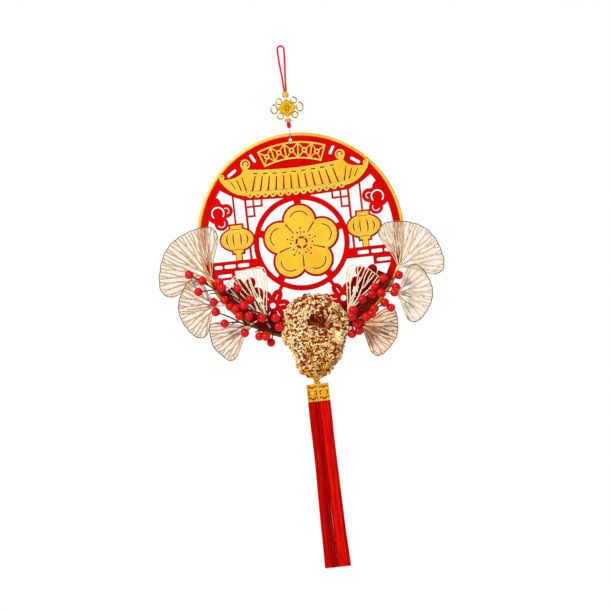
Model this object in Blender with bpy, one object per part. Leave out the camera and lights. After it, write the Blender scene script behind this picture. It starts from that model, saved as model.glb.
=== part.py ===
"""A new-year wall tassel: a cord loop and knot charm, a red fretwork disc in a gold hoop with gold
overlays, ginkgo leaves and berry sprays round a gold flower head, and a pair of capped tassels.

Sizes are in millimetres until a mesh is made. x is to the right, z is up and the front faces -y.
Plan positions (x, z) are measured from the disc's centre, which hangs under the cord loop's inside top.
"""

import math
import random

import bpy
import numpy as np
from mathutils import Vector
from mathutils.geometry import delaunay_2d_cdt

MM = 0.001
GAP = 0.3

# Driving sizes
DISC_DROP = 230.0
PANEL_R = 120.75
PANEL_T = 3.0
RIM_INNER_R = 112.5
RIM_STEPS = 64
HOOP_R = 123.0
HOOP_TUBE_R = 1.9
OVERLAY_T = 1.4
LEAF_T = 1.0
BERRY_R = 5.4
TASSEL_Y = -10.0

PANEL_FRONT = -PANEL_T / 2
OVERLAY_FRONT = PANEL_FRONT - GAP - OVERLAY_T
LEAF_BACK = -HOOP_TUBE_R - GAP - 0.1

# Outlines this close are one, and points this near a straight line are dropped
MERGE_MM = 0.004
STRAIGHT_MM = 0.003


def clear_scene():
    for obj in list(bpy.data.objects):
        bpy.data.objects.remove(obj, do_unlink=True)


def material(name, colour, roughness, metallic=0.0):
    made = bpy.data.materials.new(name)
    made.use_nodes = True
    shader = made.node_tree.nodes["Principled BSDF"]
    shader.inputs["Base Color"].default_value = (*colour, 1.0)
    shader.inputs["Roughness"].default_value = roughness
    shader.inputs["Metallic"].default_value = metallic
    return made


def place(name, mesh, finish, parent, location=(0, 0, 0), turn=0.0, smooth=False):
    """A named object at a plan position, turned about the y axis by so many degrees."""
    obj = bpy.data.objects.new(name, mesh)
    bpy.context.scene.collection.objects.link(obj)
    obj.data.materials.append(finish)
    obj.parent = parent
    obj.location = Vector(location) * MM
    obj.rotation_euler = (0.0, -math.radians(turn), 0.0)
    if smooth:
        obj.data.shade_smooth()
        obj.data.set_sharp_from_angle(angle=math.radians(40))
    return obj


def mesh_of(name, points, faces):
    mesh = bpy.data.meshes.new(name)
    mesh.from_pydata([Vector(p) * MM for p in points], [], faces)
    mesh.update()
    return mesh


# Plan outlines, as lists of (x, z)
def polar(radius, degrees, centre=(0.0, 0.0)):
    angle = math.radians(degrees)
    return (centre[0] + radius * math.cos(angle), centre[1] + radius * math.sin(angle))


def arc(centre, radius, start, end, steps):
    return [polar(radius, start + (end - start) * i / steps, centre) for i in range(steps + 1)]


def circle(x, z, radius, steps):
    return arc((x, z), radius, 0, 360, steps)[:-1]


def ellipse(x, z, half_x, half_z, steps):
    return [(x + half_x * c, z + half_z * s) for c, s in circle(0, 0, 1, steps)]


def rectangle(x0, z0, x1, z1):
    return [(x0, z0), (x1, z0), (x1, z1), (x0, z1)]


def bar(start, end, width, end_width=None):
    """A straight bar between two points, which may taper."""
    along = (Vector(end) - Vector(start)).normalized()
    side = Vector((-along.y, along.x)) / 2
    a, b = side * width, side * (width if end_width is None else end_width)
    corners = (Vector(start) + a, Vector(start) - a, Vector(end) - b, Vector(end) + b)
    return [tuple(p) for p in corners]


def slot(start, end, width, steps=2):
    """A straight slot with round ends."""
    heading = math.degrees(math.atan2(end[1] - start[1], end[0] - start[0]))
    near = arc(start, width / 2, heading + 90, heading + 270, steps)
    return near + arc(end, width / 2, heading - 90, heading + 90, steps)


def arc_slot(centre, radius, width, start, end, steps=8):
    outer = arc(centre, radius + width / 2, start, end, steps)
    return outer + arc(centre, radius - width / 2, end, start, steps)


def lens(x, z, half_height, half_width, bow, steps=5):
    """An upright slot with pointed ends, bowed sideways."""
    rise = [-1 + 2 * i / steps for i in range(steps + 1)]
    right = [(x + (bow + half_width) * (1 - t * t), z + half_height * t) for t in rise]
    left = [(x + (bow - half_width) * (1 - t * t), z + half_height * t) for t in rise]
    return right + left[-2:0:-1]


def bezier(start, control, end, steps):
    a, b, c = Vector(start), Vector(control), Vector(end)
    ts = [i / steps for i in range(steps + 1)]
    return [tuple(a * (1 - t) ** 2 + b * 2 * t * (1 - t) + c * t * t) for t in ts]


def mirrored(outline):
    return [(-x, z) for x, z in reversed(outline)]


def both(layers):
    """The same layers on the right and on the left."""
    return layers + [(mode, mirrored(outline)) for mode, outline in layers]


def moved(outline, x, z):
    return [(x + px, z + pz) for px, pz in outline]


# Sheets cut to a plan
def inside(points, outline):
    hit = np.zeros(len(points), bool)
    for (x0, z0), (x1, z1) in zip(outline, outline[1:] + outline[:1]):
        if z0 == z1:
            continue
        crosses = (z0 > points[:, 1]) != (z1 > points[:, 1])
        hit ^= crosses & (points[:, 0] < x0 + (points[:, 1] - z0) * (x1 - x0) / (z1 - z0))
    return hit


def solid_at(points, layers):
    """Painted in order: add and cut fill or clear an outline, and clip clears all outside it."""
    solid = np.zeros(len(points), bool)
    for mode, outline in layers:
        held = inside(points, outline)
        if mode == "clip":
            solid &= held
        else:
            solid[held] = mode == "add"
    return solid


def fill(points, edges, layers):
    """Triangles of the plan between its outlines, counter-clockwise, where the layers are solid."""
    plan, _, faces, *_ = delaunay_2d_cdt([Vector(p) for p in points], edges, [], 0, MERGE_MM, False)
    plan = np.array([tuple(p) for p in plan])
    faces = np.array([tuple(f) for f in faces])
    faces = faces[solid_at(plan[faces].mean(axis=1), layers)]
    a, b, c = (plan[faces[:, i]] for i in range(3))
    area = (b[:, 0] - a[:, 0]) * (c[:, 1] - a[:, 1]) - (b[:, 1] - a[:, 1]) * (c[:, 0] - a[:, 0])
    faces[area < 0] = faces[area < 0][:, ::-1]
    return plan, faces


def rim_edges(faces):
    """The directed edges that only one triangle has."""
    directed = {(f[i], f[(i + 1) % 3]) for f in faces.tolist() for i in range(3)}
    return [(a, b) for a, b in sorted(directed) if (b, a) not in directed]


def straightened(plan, edges):
    """The same border without the points that lie on a straight run."""
    ahead, behind = {}, {}
    for a, b in edges:
        ahead.setdefault(a, []).append(b)
        behind.setdefault(b, []).append(a)
    for p in sorted(ahead):
        if len(ahead[p]) != 1 or len(behind[p]) != 1:
            continue
        a, b = behind[p][0], ahead[p][0]
        run = plan[b] - plan[a]
        length = math.hypot(*run)
        off = plan[p] - plan[a]
        if a == b or length == 0 or abs(run[0] * off[1] - run[1] * off[0]) / length > STRAIGHT_MM:
            continue
        ahead[a][ahead[a].index(p)] = b
        behind[b][behind[b].index(p)] = a
        ahead[p], behind[p] = [], []
    return [(a, b) for a in sorted(ahead) for b in ahead[a]]


def sheet(name, layers, thickness, front, bend=None):
    """A sheet cut to its layers, facing -y. bend gives how far a plan point lies off the flat."""
    points, edges = [], []
    for _, outline in layers:
        first = len(points)
        points += outline
        edges += [(first + i, first + (i + 1) % len(outline)) for i in range(len(outline))]
    plan, faces = fill(points, edges, layers)
    border = straightened(plan, rim_edges(faces))
    used = sorted({p for edge in border for p in edge})
    number = {p: i for i, p in enumerate(used)}
    border = [(number[a], number[b]) for a, b in border]
    plan, faces = fill(plan[used].tolist(), border, layers)
    count = len(plan)
    offset = [bend(x, z) if bend else 0.0 for x, z in plan]
    near = [(x, front + off, z) for (x, z), off in zip(plan, offset)]
    far = [(x, front + thickness + off, z) for (x, z), off in zip(plan, offset)]
    walls = [(b, a, a + count, b + count) for a, b in rim_edges(faces)]
    backs = [tuple(count + p for p in reversed(f)) for f in faces.tolist()]
    return mesh_of(name, near + far, [tuple(f) for f in faces.tolist()] + backs + walls)


# Round bodies
def ring_stack(name, rings):
    """A closed body through rings of points, bottom to top, each running counter-clockwise from above."""
    sides = len(rings[0])
    points = [p for ring in rings for p in ring]
    faces = []
    for level in range(len(rings) - 1):
        low, high = level * sides, (level + 1) * sides
        for i in range(sides):
            j = (i + 1) % sides
            faces.append((low + i, low + j, high + j, high + i))
    for level, step in ((0, -1), (len(rings) - 1, 1)):
        centre = len(points)
        points.append(tuple(np.mean(rings[level], axis=0)))
        first = level * sides
        for i in range(sides):
            faces.append((first + i, first + (i + step) % sides, centre))
    return mesh_of(name, points, faces)


def turned(name, profile, sides=16):
    """A turned body from (radius, z) rows, bottom to top."""
    rings = [[(x, y, z) for x, y in circle(0, 0, radius, sides)] for radius, z in profile]
    return ring_stack(name, rings)


def tube(name, route, radii, sides):
    """A closed tube along points in space."""
    route = [Vector(p) for p in route]
    side = None
    rings = []
    for i, here in enumerate(route):
        along = (route[min(i + 1, len(route) - 1)] - route[max(i - 1, 0)]).normalized()
        if side is None:
            side = along.orthogonal().normalized()
        side = (side - along * side.dot(along)).normalized()
        up = along.cross(side)
        rings.append([tuple(here + (side * c + up * s) * radii[i]) for c, s in circle(0, 0, 1, sides)])
    return ring_stack(name, rings)


def ball(name, centre, radius, sides=6, rows=3):
    rings = []
    for row in range(1, rows + 1):
        tilt = math.pi * row / (rows + 1)
        across, height = radius * math.sin(tilt), -radius * math.cos(tilt)
        rings.append([(centre[0] + x, centre[1] + y, centre[2] + height) for x, y in circle(0, 0, across, sides)])
    mesh = ring_stack(name, rings)
    poles = (Vector(centre) - Vector((0, 0, radius)), Vector(centre) + Vector((0, 0, radius)))
    for vertex, pole in zip(list(mesh.vertices)[-2:], poles):
        vertex.co = pole * MM
    return mesh


def oval_ring(name, centre, half_x, half_z, tube_r, sides=5, steps=10):
    """A closed wire ring in the plan, round or oval."""
    points, faces = [], []
    for i in range(steps):
        turn = 2 * math.pi * i / steps
        out = Vector((math.cos(turn) / half_x, 0, math.sin(turn) / half_z)).normalized()
        here = Vector((centre[0] + half_x * math.cos(turn), centre[1], centre[2] + half_z * math.sin(turn)))
        points += [tuple(here + (out * c + Vector((0, s, 0))) * tube_r) for c, s in circle(0, 0, 1, sides)]
    for i in range(steps):
        low, high = i * sides, (i + 1) % steps * sides
        for k in range(sides):
            m = (k + 1) % sides
            faces.append((low + k, low + m, high + m, high + k))
    return mesh_of(name, points, faces)


def combined(name, meshes, operation="UNION"):
    """One mesh from overlapping closed meshes: the first, with the others joined to it or cut from it."""
    scene = bpy.context.scene.collection
    helpers = bpy.data.collections.new(name + "_tools")
    scene.children.link(helpers)
    base = bpy.data.objects.new(name + "_base", meshes[0])
    scene.objects.link(base)
    for mesh in meshes[1:]:
        helper = bpy.data.objects.new(name + "_tool", mesh)
        helper.hide_render = True
        helper.display_type = "WIRE"
        helpers.objects.link(helper)
    modifier = base.modifiers.new("join", "BOOLEAN")
    modifier.operation = operation
    modifier.operand_type = "COLLECTION"
    modifier.collection = helpers
    bpy.context.view_layer.update()
    graph = bpy.context.evaluated_depsgraph_get()
    made = bpy.data.meshes.new_from_object(base.evaluated_get(graph))
    made.name = name
    for obj in [base, *helpers.objects]:
        bpy.data.objects.remove(obj, do_unlink=True)
    bpy.data.collections.remove(helpers)
    made.materials.clear()
    return made


# Hanging cord
CORD_R = 1.0
CORD_FOOT_Z = 175.5
CORD_FOOT_HALF = 1.15
CORD_TURN_R = 3.9
CORD_TURN_Z = DISC_DROP + CORD_R - CORD_TURN_R
CORD_LEG_STEPS = 10
CORD_TURN_STEPS = 8


def cord_route():
    """Up one leg, which widens smoothly, round the top and down the other."""
    leg = []
    for i in range(CORD_LEG_STEPS):
        t = i / CORD_LEG_STEPS
        ease = t * t * (3 - 2 * t)
        half = CORD_FOOT_HALF + (CORD_TURN_R - CORD_FOOT_HALF) * ease
        leg.append((-half, CORD_FOOT_Z + (CORD_TURN_Z - CORD_FOOT_Z) * t))
    top = arc((0, CORD_TURN_Z), CORD_TURN_R, 180, 0, CORD_TURN_STEPS)
    return leg + top + [(-x, z) for x, z in reversed(leg)]


def build_cord(finish, parent):
    curve = bpy.data.curves.new("hang_cord", "CURVE")
    curve.dimensions = "3D"
    curve.bevel_depth = CORD_R * MM
    curve.bevel_resolution = 2
    curve.use_fill_caps = True
    spline = curve.splines.new("POLY")
    route = cord_route()
    spline.points.add(len(route) - 1)
    for point, (x, z) in zip(spline.points, route):
        point.co = (x * MM, 0, z * MM, 1)
    place("hang_cord", curve, finish, parent)


# Charm above the disc
CHARM_Z = 155.6
CHARM_HALF = 12.3
CHARM_T = 3.0
WIRE_R = 0.85
BEAD_ROWS = ((0.42, 0.0), (0.8, 0.12), (1.0, 0.38), (1.0, 0.62), (0.8, 0.88), (0.42, 1.0))
# x, z from the charm's centre, half width and half height
CHARM_LOOPS = ((8.9, 8.8, 3.5, 3.5), (15.6, 0.2, 3.8, 5.3), (8.8, -8.8, 3.6, 3.6))


def bead(name, radius, low, high, sides=12):
    return turned(name, [(radius * r, low + (high - low) * t) for r, t in BEAD_ROWS], sides)


def diamond(x, z, half):
    return [(x + half, z), (x, z + half), (x - half, z), (x, z - half)]


def build_charm(gold, gold_bead, red, brass, parent):
    core = sheet("core", [("add", diamond(0, CHARM_Z, CHARM_HALF))], CHARM_T, -CHARM_T / 2)
    loops = [
        oval_ring("loop", (side * x, 0, CHARM_Z + z), half_x, half_z, WIRE_R)
        for side in (-1, 1)
        for x, z, half_x, half_z in CHARM_LOOPS
    ]
    place("knot_charm", combined("knot_charm", [core, *loops]), gold, parent)
    plate_half, cell_half, pitch = 10.6, 1.55, 2.5
    plate = [("add", diamond(0, CHARM_Z, plate_half))]
    for i in (-1, 0, 1):
        for j in (-1, 0, 1):
            plate.append(("cut", diamond((i - j) * pitch, CHARM_Z + (i + j) * pitch, cell_half)))
    plate_t = 1.2
    front = -CHARM_T / 2 - GAP - plate_t
    place("knot_plaque", sheet("knot_plaque", plate, plate_t, front), gold, parent)
    top = CHARM_Z + CHARM_HALF + GAP
    place("bead_top", bead("bead_top", 4.1, top, CORD_FOOT_Z - GAP), gold_bead, parent, smooth=True)
    low_top = CHARM_Z - CHARM_HALF - GAP
    low_bottom = low_top - 4.2
    place("bead_low", bead("bead_low", 4.4, low_bottom, low_top), gold_bead, parent, smooth=True)
    wrap_top = low_bottom - GAP
    wrap = [(1.5, wrap_top - 7.2), (2.3, wrap_top - 6.2), (2.6, wrap_top - 3.0), (2.5, wrap_top - 0.6), (2.1, wrap_top)]
    place("thread_wrap", turned("thread_wrap", wrap, 10), red, parent, smooth=True)
    build_link(wrap_top - 7.3 - GAP, brass, parent)


HOLE_Z = 117.0
HOLE_R = 2.0
LINK_R = 0.5
LINK_HALF_Y = HOOP_TUBE_R + 2 * GAP + LINK_R


def build_link(top, finish, parent):
    """A bent wire from the wrap, round the hoop and the rim, and through the panel's hole."""
    low = HOLE_Z + HOLE_R * math.cos(math.pi / 8) - GAP - LINK_R - 0.05
    bend_r = 1.6
    near_top = top - 5.0
    half = [(LINK_R + 0.12, top), (LINK_R + 0.2, top - 1.2), (LINK_HALF_Y - 0.6, near_top + 1.0)]
    half += [(LINK_HALF_Y, near_top - 1.0), (LINK_HALF_Y, low + bend_r)]
    corner = arc((LINK_HALF_Y - bend_r, low + bend_r), bend_r, 0, -90, 3)[1:]
    half += corner
    route = [(0, -y, z) for y, z in half] + [(0, y, z) for y, z in reversed(half)]
    place("link_wire", tube("link_wire", route, [LINK_R] * len(route), 5), finish, parent, smooth=True)


# Disc
RING_Z = -8.0
RING_OUTER = 58.0
RING_INNER = 51.5
BLOSSOM_PETALS = 5
DAISY_PETALS = 6
PETAL_R = 18.5
PETAL_OUT = 26.5
LANTERN_X = 77.0
LANTERN_Z = 4.0
LANTERN_HALF_X = 19.5
LANTERN_HALF_Z = 13.2
BORDER = 2.2
EAVE_Z = 52.5


def lantern_body(grow=0.0):
    """Outline layers of a round lantern with its cap and foot, about its own centre."""
    wide, tall = LANTERN_HALF_X + grow, LANTERN_HALF_Z + grow
    return [
        ("add", ellipse(0, 0, wide, tall, 20)),
        ("add", rectangle(-7 - grow, 10, 7 + grow, 17.2 + grow)),
        ("add", rectangle(-6 - grow, -16 - grow, 6 + grow, -10)),
        ("add", rectangle(-3.2 - grow / 2, -25.2, 3.2 + grow / 2, -14)),
    ]


def petals(radius, steps):
    turns = [90 + 360 * i / BLOSSOM_PETALS for i in range(BLOSSOM_PETALS)]
    centres = [polar(PETAL_OUT, turn, (0, RING_Z)) for turn in turns]
    return turns, centres, [("add", circle(x, z, radius, steps)) for x, z in centres]


def daisy(x, z, tied=True):
    """A flower with round petals, whole or with an eye and tied to the ring."""
    layers = [("add", circle(x, z, 10, 14))]
    for i in range(DAISY_PETALS):
        turn = 2 * math.pi * i / DAISY_PETALS
        petal = ellipse(12.8, 0, 8.2, 6.4, 10)
        spun = [(px * math.cos(turn) - pz * math.sin(turn), px * math.sin(turn) + pz * math.cos(turn)) for px, pz in petal]
        layers.append(("add", moved(spun, x, z)))
    if tied:
        to_ring = (Vector((0, RING_Z)) - Vector((x, z))).normalized() * 31
        layers.append(("add", bar((x, z), tuple(Vector((x, z)) + to_ring), 4.5)))
        layers.append(("cut", circle(x, z, 3.4, 8)))
    return layers


def cloud(x, z):
    """A scrolled cloud of round lobes."""
    layers = [("add", circle(x + dx, z + dz, r, 13)) for dx, dz, r in ((0, 0, 13), (-11, 2, 8.5), (-4, -13, 8.5))]
    layers.append(("add", circle(x + 3, z + 11, 9, 13)))
    layers.append(("cut", arc_slot((x - 1, z), 7.2, 1.7, -40, 215, 6)))
    return layers


def panel_layers():
    """The red fretwork disc: a rim, a solid crown, a moon-gate ring and what ties them together."""
    crown = [(-130, 130), (-130, 66), (-93, 66), (-80, 57.5), (-64, 50), (0, 47)]
    crown += [(64, 50), (80, 57.5), (93, 66), (130, 66), (130, 130)]
    layers = [
        ("add", circle(0, 0, PANEL_R, RIM_STEPS)),
        ("cut", circle(0, 0, RIM_INNER_R, 48)),
        ("add", crown),
        ("clip", circle(0, 0, PANEL_R, RIM_STEPS)),
        ("add", arc((0, 0), PANEL_R - 3, -150, -30, 16) + arc((0, 0), 102.0, -30, -150, 16)),
        ("add", circle(0, RING_Z, RING_OUTER, 38)),
        ("cut", circle(0, RING_Z, RING_INNER, 34)),
    ]
    _, centres, backing = petals(PETAL_R + 2.8, 15)
    layers += backing + [("add", circle(0, RING_Z, 24, 24))]
    for x, z in centres:
        out = (Vector((x, z)) - Vector((0, RING_Z))).normalized()
        tip = Vector((0, RING_Z)) + out * (RING_INNER + 3)
        layers.append(("add", bar((x, z), tuple(tip), 9)))
    right = daisy(43, -80) + daisy(74, -62, tied=False) + cloud(98, 38)
    right += [
        ("add", bar((62.5, 54), (62.5, -28), 2.8)),
        ("add", bar((43, 54), (43, 40.5), 2.4)),
        ("add", bar((41.8, 41.7), (62.5, 41.7), 2.4)),
        ("add", bar((53, 54), (53, 29), 2.4)),
        ("add", bar((51.8, 30.2), (62.5, 30.2), 2.4)),
        ("add", rectangle(52, -33.5, 114, -21)),
        ("add", rectangle(84, -43.5, 114, -30)),
        ("add", bar((LANTERN_X, 60), (LANTERN_X, 20), 2.4)),
    ]
    right += [(mode, moved(outline, LANTERN_X, LANTERN_Z)) for mode, outline in lantern_body(BORDER)]
    right += [
        ("cut", slot((68, -27.5), (77.5, -27.5), 4.4)),
        ("cut", slot((84.5, -27.5), (94, -27.5), 4.4)),
        ("cut", slot((100.5, -27.5), (106, -27.5), 4.4)),
        ("cut", slot((90, -38.3), (103, -38.3), 4.0)),
        ("cut", slot((46, 96), (50, 103), 3.4)),
        ("cut", slot((71, 87), (79, 81.5), 3.6)),
    ]
    return layers + both(right) + [("clip", circle(0, 0, PANEL_R, RIM_STEPS)), ("cut", circle(0, HOLE_Z, HOLE_R, 8))]


def ridge_z(x):
    return 83.0 + 3.6 * (x / 56) ** 2


def eave_z(x):
    return EAVE_Z + 2.6 * (x / 58) ** 2


def roof_layers():
    """A plain hipped tile roof: a sagging ridge, swept eaves, round tile ends and cut tile joints."""
    ridge = [(x, ridge_z(x)) for x in (0, 14, 28, 42, 56)]
    hip = bezier((60.5, 89.0), (62, 76.5), (85.5, 77.0), 5)
    tip = arc((87.6, 80.2), 3.4, 200, -40, 4)
    sweep = bezier((90.6, 77.2), (80, 57.5), (60, eave_z(60)), 5)
    eave = [(x, eave_z(x)) for x in (40, 20, 0)]
    half = ridge + hip + tip + sweep + eave
    layers = [("add", half + mirrored(half)[1:-1])]
    tile_pitch, tile_r = 9.3, 3.7
    for i in range(-6, 7):
        layers.append(("add", circle(i * tile_pitch, eave_z(i * tile_pitch) + 1.2, tile_r, 10)))
    for i in range(-6, 6):
        x = (i + 0.5) * tile_pitch
        layers.append(("cut", bar((x * 0.92, ridge_z(x) - 8.5), (x * 1.02, eave_z(x) + 6.0), 0.9, 1.5)))
    for i in range(-4, 5):
        x = i * 11.6
        layers.append(("cut", bar((x - 2.7, ridge_z(x) - 4.6), (x + 2.7, ridge_z(x + 2) - 4.6), 1.1)))
    scroll = [
        ("add", circle(57.6, 93.2, 6.0, 12)),
        ("add", bar((57.0, 84.0), (61.4, 92.0), 6.0, 4.4)),
        ("cut", arc_slot((57.2, 93.4), 3.3, 1.3, -20, 230, 5)),
        ("cut", bar((74, 73.0), (66.5, 64.0), 0.9, 1.5)),
    ]
    return layers + both(scroll)


def crest_layers():
    """A fan-shaped frame of plain lattice cells."""
    low, high, half, cells, frame = 93.6, 114.4, 21.5, 5, 2.0
    layers = [("add", arc((0, 0), high, 90 - half, 90 + half, 10) + arc((0, 0), low, 90 + half, 90 - half, 10))]
    step = 2 * half / cells
    wall = 0.55
    for i in range(cells):
        start, end = 90 - half + i * step + wall, 90 - half + (i + 1) * step - wall
        start += wall if i == 0 else 0
        end -= wall if i == cells - 1 else 0
        inner, outer = low + frame, high - frame
        layers.append(("cut", arc((0, 0), outer, start, end, 1) + arc((0, 0), inner, end, start, 1)))
        middle = (start + end) / 2
        hub = (low + high) / 2
        for edge in (start - wall, end + wall):
            for radius in (inner - 0.6, outer + 0.6):
                layers.append(("add", bar(polar(hub, middle), polar(radius, edge), 1.5)))
        layers.append(("add", circle(*polar(hub, middle), 3.2, 4)))
    layers.append(("clip", layers[0][1]))
    return layers


def blossom_layers():
    """A five-petalled blossom with creased petals and stamens."""
    turns, centres, layers = petals(PETAL_R, 20)
    hub = (0, RING_Z)
    layers.append(("add", circle(*hub, 20, 20)))
    for turn, centre in zip(turns, centres):
        layers.append(("cut", arc_slot(centre, 11.6, 1.5, turn - 62, turn + 62, 5)))
        crease = turn + 180 / BLOSSOM_PETALS
        layers.append(("cut", bar(polar(13.5, crease, hub), polar(29.0, crease, hub), 1.0, 2.0)))
    layers += [("cut", circle(*hub, 7.6, 15)), ("add", circle(*hub, 5.0, 10))]
    for turn in turns:
        layers.append(("add", bar(polar(3.5, turn + 36, hub), polar(9.0, turn + 36, hub), 2.0)))
        for spread, reach in ((-18, 13.0), (0, 17.5), (18, 13.0)):
            layers.append(("cut", circle(*polar(reach, turn + spread, hub), 1.4, 4)))
        layers.append(("cut", bar(polar(9.4, turn, hub), polar(14.8, turn, hub), 0.9)))
    return layers


def lantern_layers():
    layers = lantern_body()
    for x, bow in ((-9.5, -3.2), (-3.6, -1.2), (3.6, 1.2), (9.5, 3.2)):
        layers.append(("cut", lens(x, 0, 9.6 - abs(x) * 0.16, 0.95, bow)))
    return layers


def build_hoop(finish, parent):
    steps, sides = 64, 5
    points, faces = [], []
    for i in range(steps):
        turn = 360 * i / steps
        for c, s in circle(0, 0, HOOP_TUBE_R, sides):
            x, z = polar(HOOP_R + c, turn)
            points.append((x, s, z))
    for i in range(steps):
        low, high = i * sides, (i + 1) % steps * sides
        for k in range(sides):
            m = (k + 1) % sides
            faces.append((low + k, low + m, high + m, high + k))
    place("hoop", mesh_of("hoop", points, faces), finish, parent, smooth=True)


def build_disc(red, gold, hoop_gold, parent):
    build_hoop(hoop_gold, parent)
    place("panel", sheet("panel", panel_layers(), PANEL_T, PANEL_FRONT), red, parent)
    place("roof", sheet("roof", roof_layers(), OVERLAY_T, OVERLAY_FRONT), gold, parent)
    place("crest", sheet("crest", crest_layers(), OVERLAY_T, OVERLAY_FRONT), gold, parent)
    place("blossom", sheet("blossom", blossom_layers(), OVERLAY_T, OVERLAY_FRONT), gold, parent)
    for name, side in (("lantern_left", -1), ("lantern_right", 1)):
        mesh = sheet(name, lantern_layers(), OVERLAY_T, OVERLAY_FRONT)
        place(name, mesh, gold, parent, (side * LANTERN_X, 0, LANTERN_Z))


# Ginkgo leaves: base x and z, the way the fan points, half its spread, radius, lift of the rim
# towards the front, and length of the stem behind the base
LEAVES = {
    "leaf_left_top": (-113, -40, 137, 62, 64, 1.5, 5),
    "leaf_left_middle": (-111, -73, 180, 66, 45, 8.0, 17),
    "leaf_left_low": (-74, -101, 205, 37, 49, 13.0, 11),
    "leaf_left_inner": (-52, -99, 111, 27, 68, 4.0, 8),
    "leaf_right_top": (113, -50, 49, 67, 56, 1.5, 5),
    "leaf_right_middle": (107, -81, -7, 66, 43, 8.0, 17),
    "leaf_right_low": (59, -113, -27, 47, 46, 13.0, 8),
    "leaf_right_inner": (46, -99, 62, 24, 59, 4.0, 4),
}
STEM_W = 2.4
RIB_W = 1.3
RIB_PITCH = 9.0
RIM_W = 1.5
CUP = 2.0


def fan_radius(radius, share):
    """The rim's distance from the base, where share runs from -1 to 1 across the fan."""
    return radius * (1 - 0.10 * share ** 4 + 0.025 * math.cos(7 * share))


def leaf_layers(half_spread, radius, stem):
    """A fan on its base at the origin, pointing up, with the gaps between its ribs cut through."""
    steps = 2 * max(3, round(half_spread / 11))
    rim = []
    for i in range(steps + 1):
        share = 1 - 2 * i / steps
        rim.append(polar(fan_radius(radius, share), 90 - half_spread * share))
    foot = [(-STEM_W / 2, 0.0), (-STEM_W / 2, -stem), (STEM_W / 2, -stem), (STEM_W / 2, 0.0)]
    layers = [("add", rim + foot)]
    arc_length = 2 * math.radians(half_spread) * radius
    gaps = max(4, round(arc_length / RIB_PITCH))
    pitch = 2 * half_spread / gaps
    for i in range(gaps):
        start = 90 - half_spread + i * pitch
        end = start + pitch
        share = (start + pitch / 2 - 90) / half_spread
        outer = fan_radius(radius, share) - RIM_W
        inner = RIB_W * 1.9 / math.radians(pitch) + (6 if i % 2 else 0)
        trim = math.degrees(RIB_W / 2 / outer)
        edge = math.degrees(RIM_W / outer)
        first = trim if i else edge
        last = trim if i < gaps - 1 else edge
        gap = [polar(inner, (start + end) / 2), polar(outer * 0.98, start + first)]
        gap += [polar(outer, (start + end) / 2), polar(outer * 0.98, end - last)]
        layers.append(("cut", gap))
    return layers


def leaf_bend(radius, lift):
    """How far the leaf's face lies from its base's plane: the rim comes forward and the sides cup."""

    def bend(x, z):
        reach = max(0.0, math.hypot(x, z) / radius - 0.08) if z > 0 else 0.0
        return -lift * reach ** 1.6 - CUP * (x / radius) ** 2 * reach

    return bend


def build_leaves(finish, parent):
    for name, (x, z, heading, half_spread, radius, lift, stem) in LEAVES.items():
        layers = leaf_layers(half_spread, radius, stem)
        mesh = sheet(name, layers, LEAF_T, LEAF_BACK - LEAF_T, leaf_bend(radius, lift))
        place(name, mesh, finish, parent, (x, 0, z), heading - 90)


FOOT_Y = PANEL_FRONT - GAP - 0.05

# Berry sprays: the main stem's route from its foot on the rim, then the berries, each with the
# share of the stem at which its own stalk leaves
SPRAYS = {
    "spray_left_high": (
        ((-46, FOOT_Y, -104), (-46, -10, -104), (-70, -19, -84), (-97, -20, -62), (-118, -19, -47), (-137, -18, -33)),
        (
            (-139, -18, -32, 0.97), (-124, -20, -41, 0.78), (-130, -20, -54, 0.72), (-104, -19, -45, 0.55),
            (-101, -27, -52, 0.5), (-83, -22, -55, 0.4), (-113, -20, -68, 0.5), (-100, -22, -67, 0.42),
            (-94, -19, -75, 0.36),
        ),
    ),
    "spray_left_middle": (
        ((-42, FOOT_Y, -99), (-42, -14, -99), (-52, -30, -91), (-66, -35, -84), (-80, -36, -79)),
        (
            (-69, -34, -70, 0.72), (-77, -38, -76, 0.9), (-87, -34, -79, 0.98), (-84, -36, -88, 0.8),
            (-73, -40, -89, 0.7), (-57, -36, -93, 0.45), (-41, -33, -95, 0.22),
        ),
    ),
    "spray_left_low": (
        ((-40, FOOT_Y, -110), (-40, -12, -110), (-58, -20, -106), (-80, -22, -98), (-96, -21, -88), (-108, -20, -82)),
        (
            (-112, -20, -80, 0.98), (-103, -22, -95, 0.7), (-80, -21, -109, 0.5), (-63, -19, -115, 0.3),
            (-55, -27, -116, 0.26), (-50, -18, -124, 0.2), (-38, -28, -106, 0.12),
        ),
    ),
    "spray_right_high": (
        ((51, FOOT_Y, -101), (51, -12, -101), (70, -20, -87), (88, -21, -75), (103, -20, -64), (110, -19, -61)),
        (
            (112, -19, -60, 0.97), (93, -19, -62, 0.68), (107, -20, -74, 0.75), (104, -29, -80, 0.65),
            (82, -22, -71, 0.5), (77, -25, -79, 0.4), (88, -27, -79, 0.5), (65, -23, -84, 0.28),
        ),
    ),
    "spray_right_middle": (
        ((49, FOOT_Y, -106.5), (49, -16, -106.5), (62, -32, -103), (76, -35, -97), (90, -33, -93)),
        (
            (91, -34, -91, 0.98), (98, -31, -98, 0.94), (52, -35, -96, 0.4), (50, -42, -103, 0.34),
            (74, -36, -103, 0.7), (67, -41, -106, 0.55), (78, -40, -97, 0.75),
        ),
    ),
    "spray_right_low": (
        ((44, FOOT_Y, -109), (44, -12, -109), (52, -22, -116), (58, -25, -120)),
        ((57, -27, -121, 0.95), (48, -24, -124, 0.62), (60, -20, -112, 0.5), (55, -33, -112, 0.4)),
    ),
}
STEM_R = 0.9
STALK_R = 0.7


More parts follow.
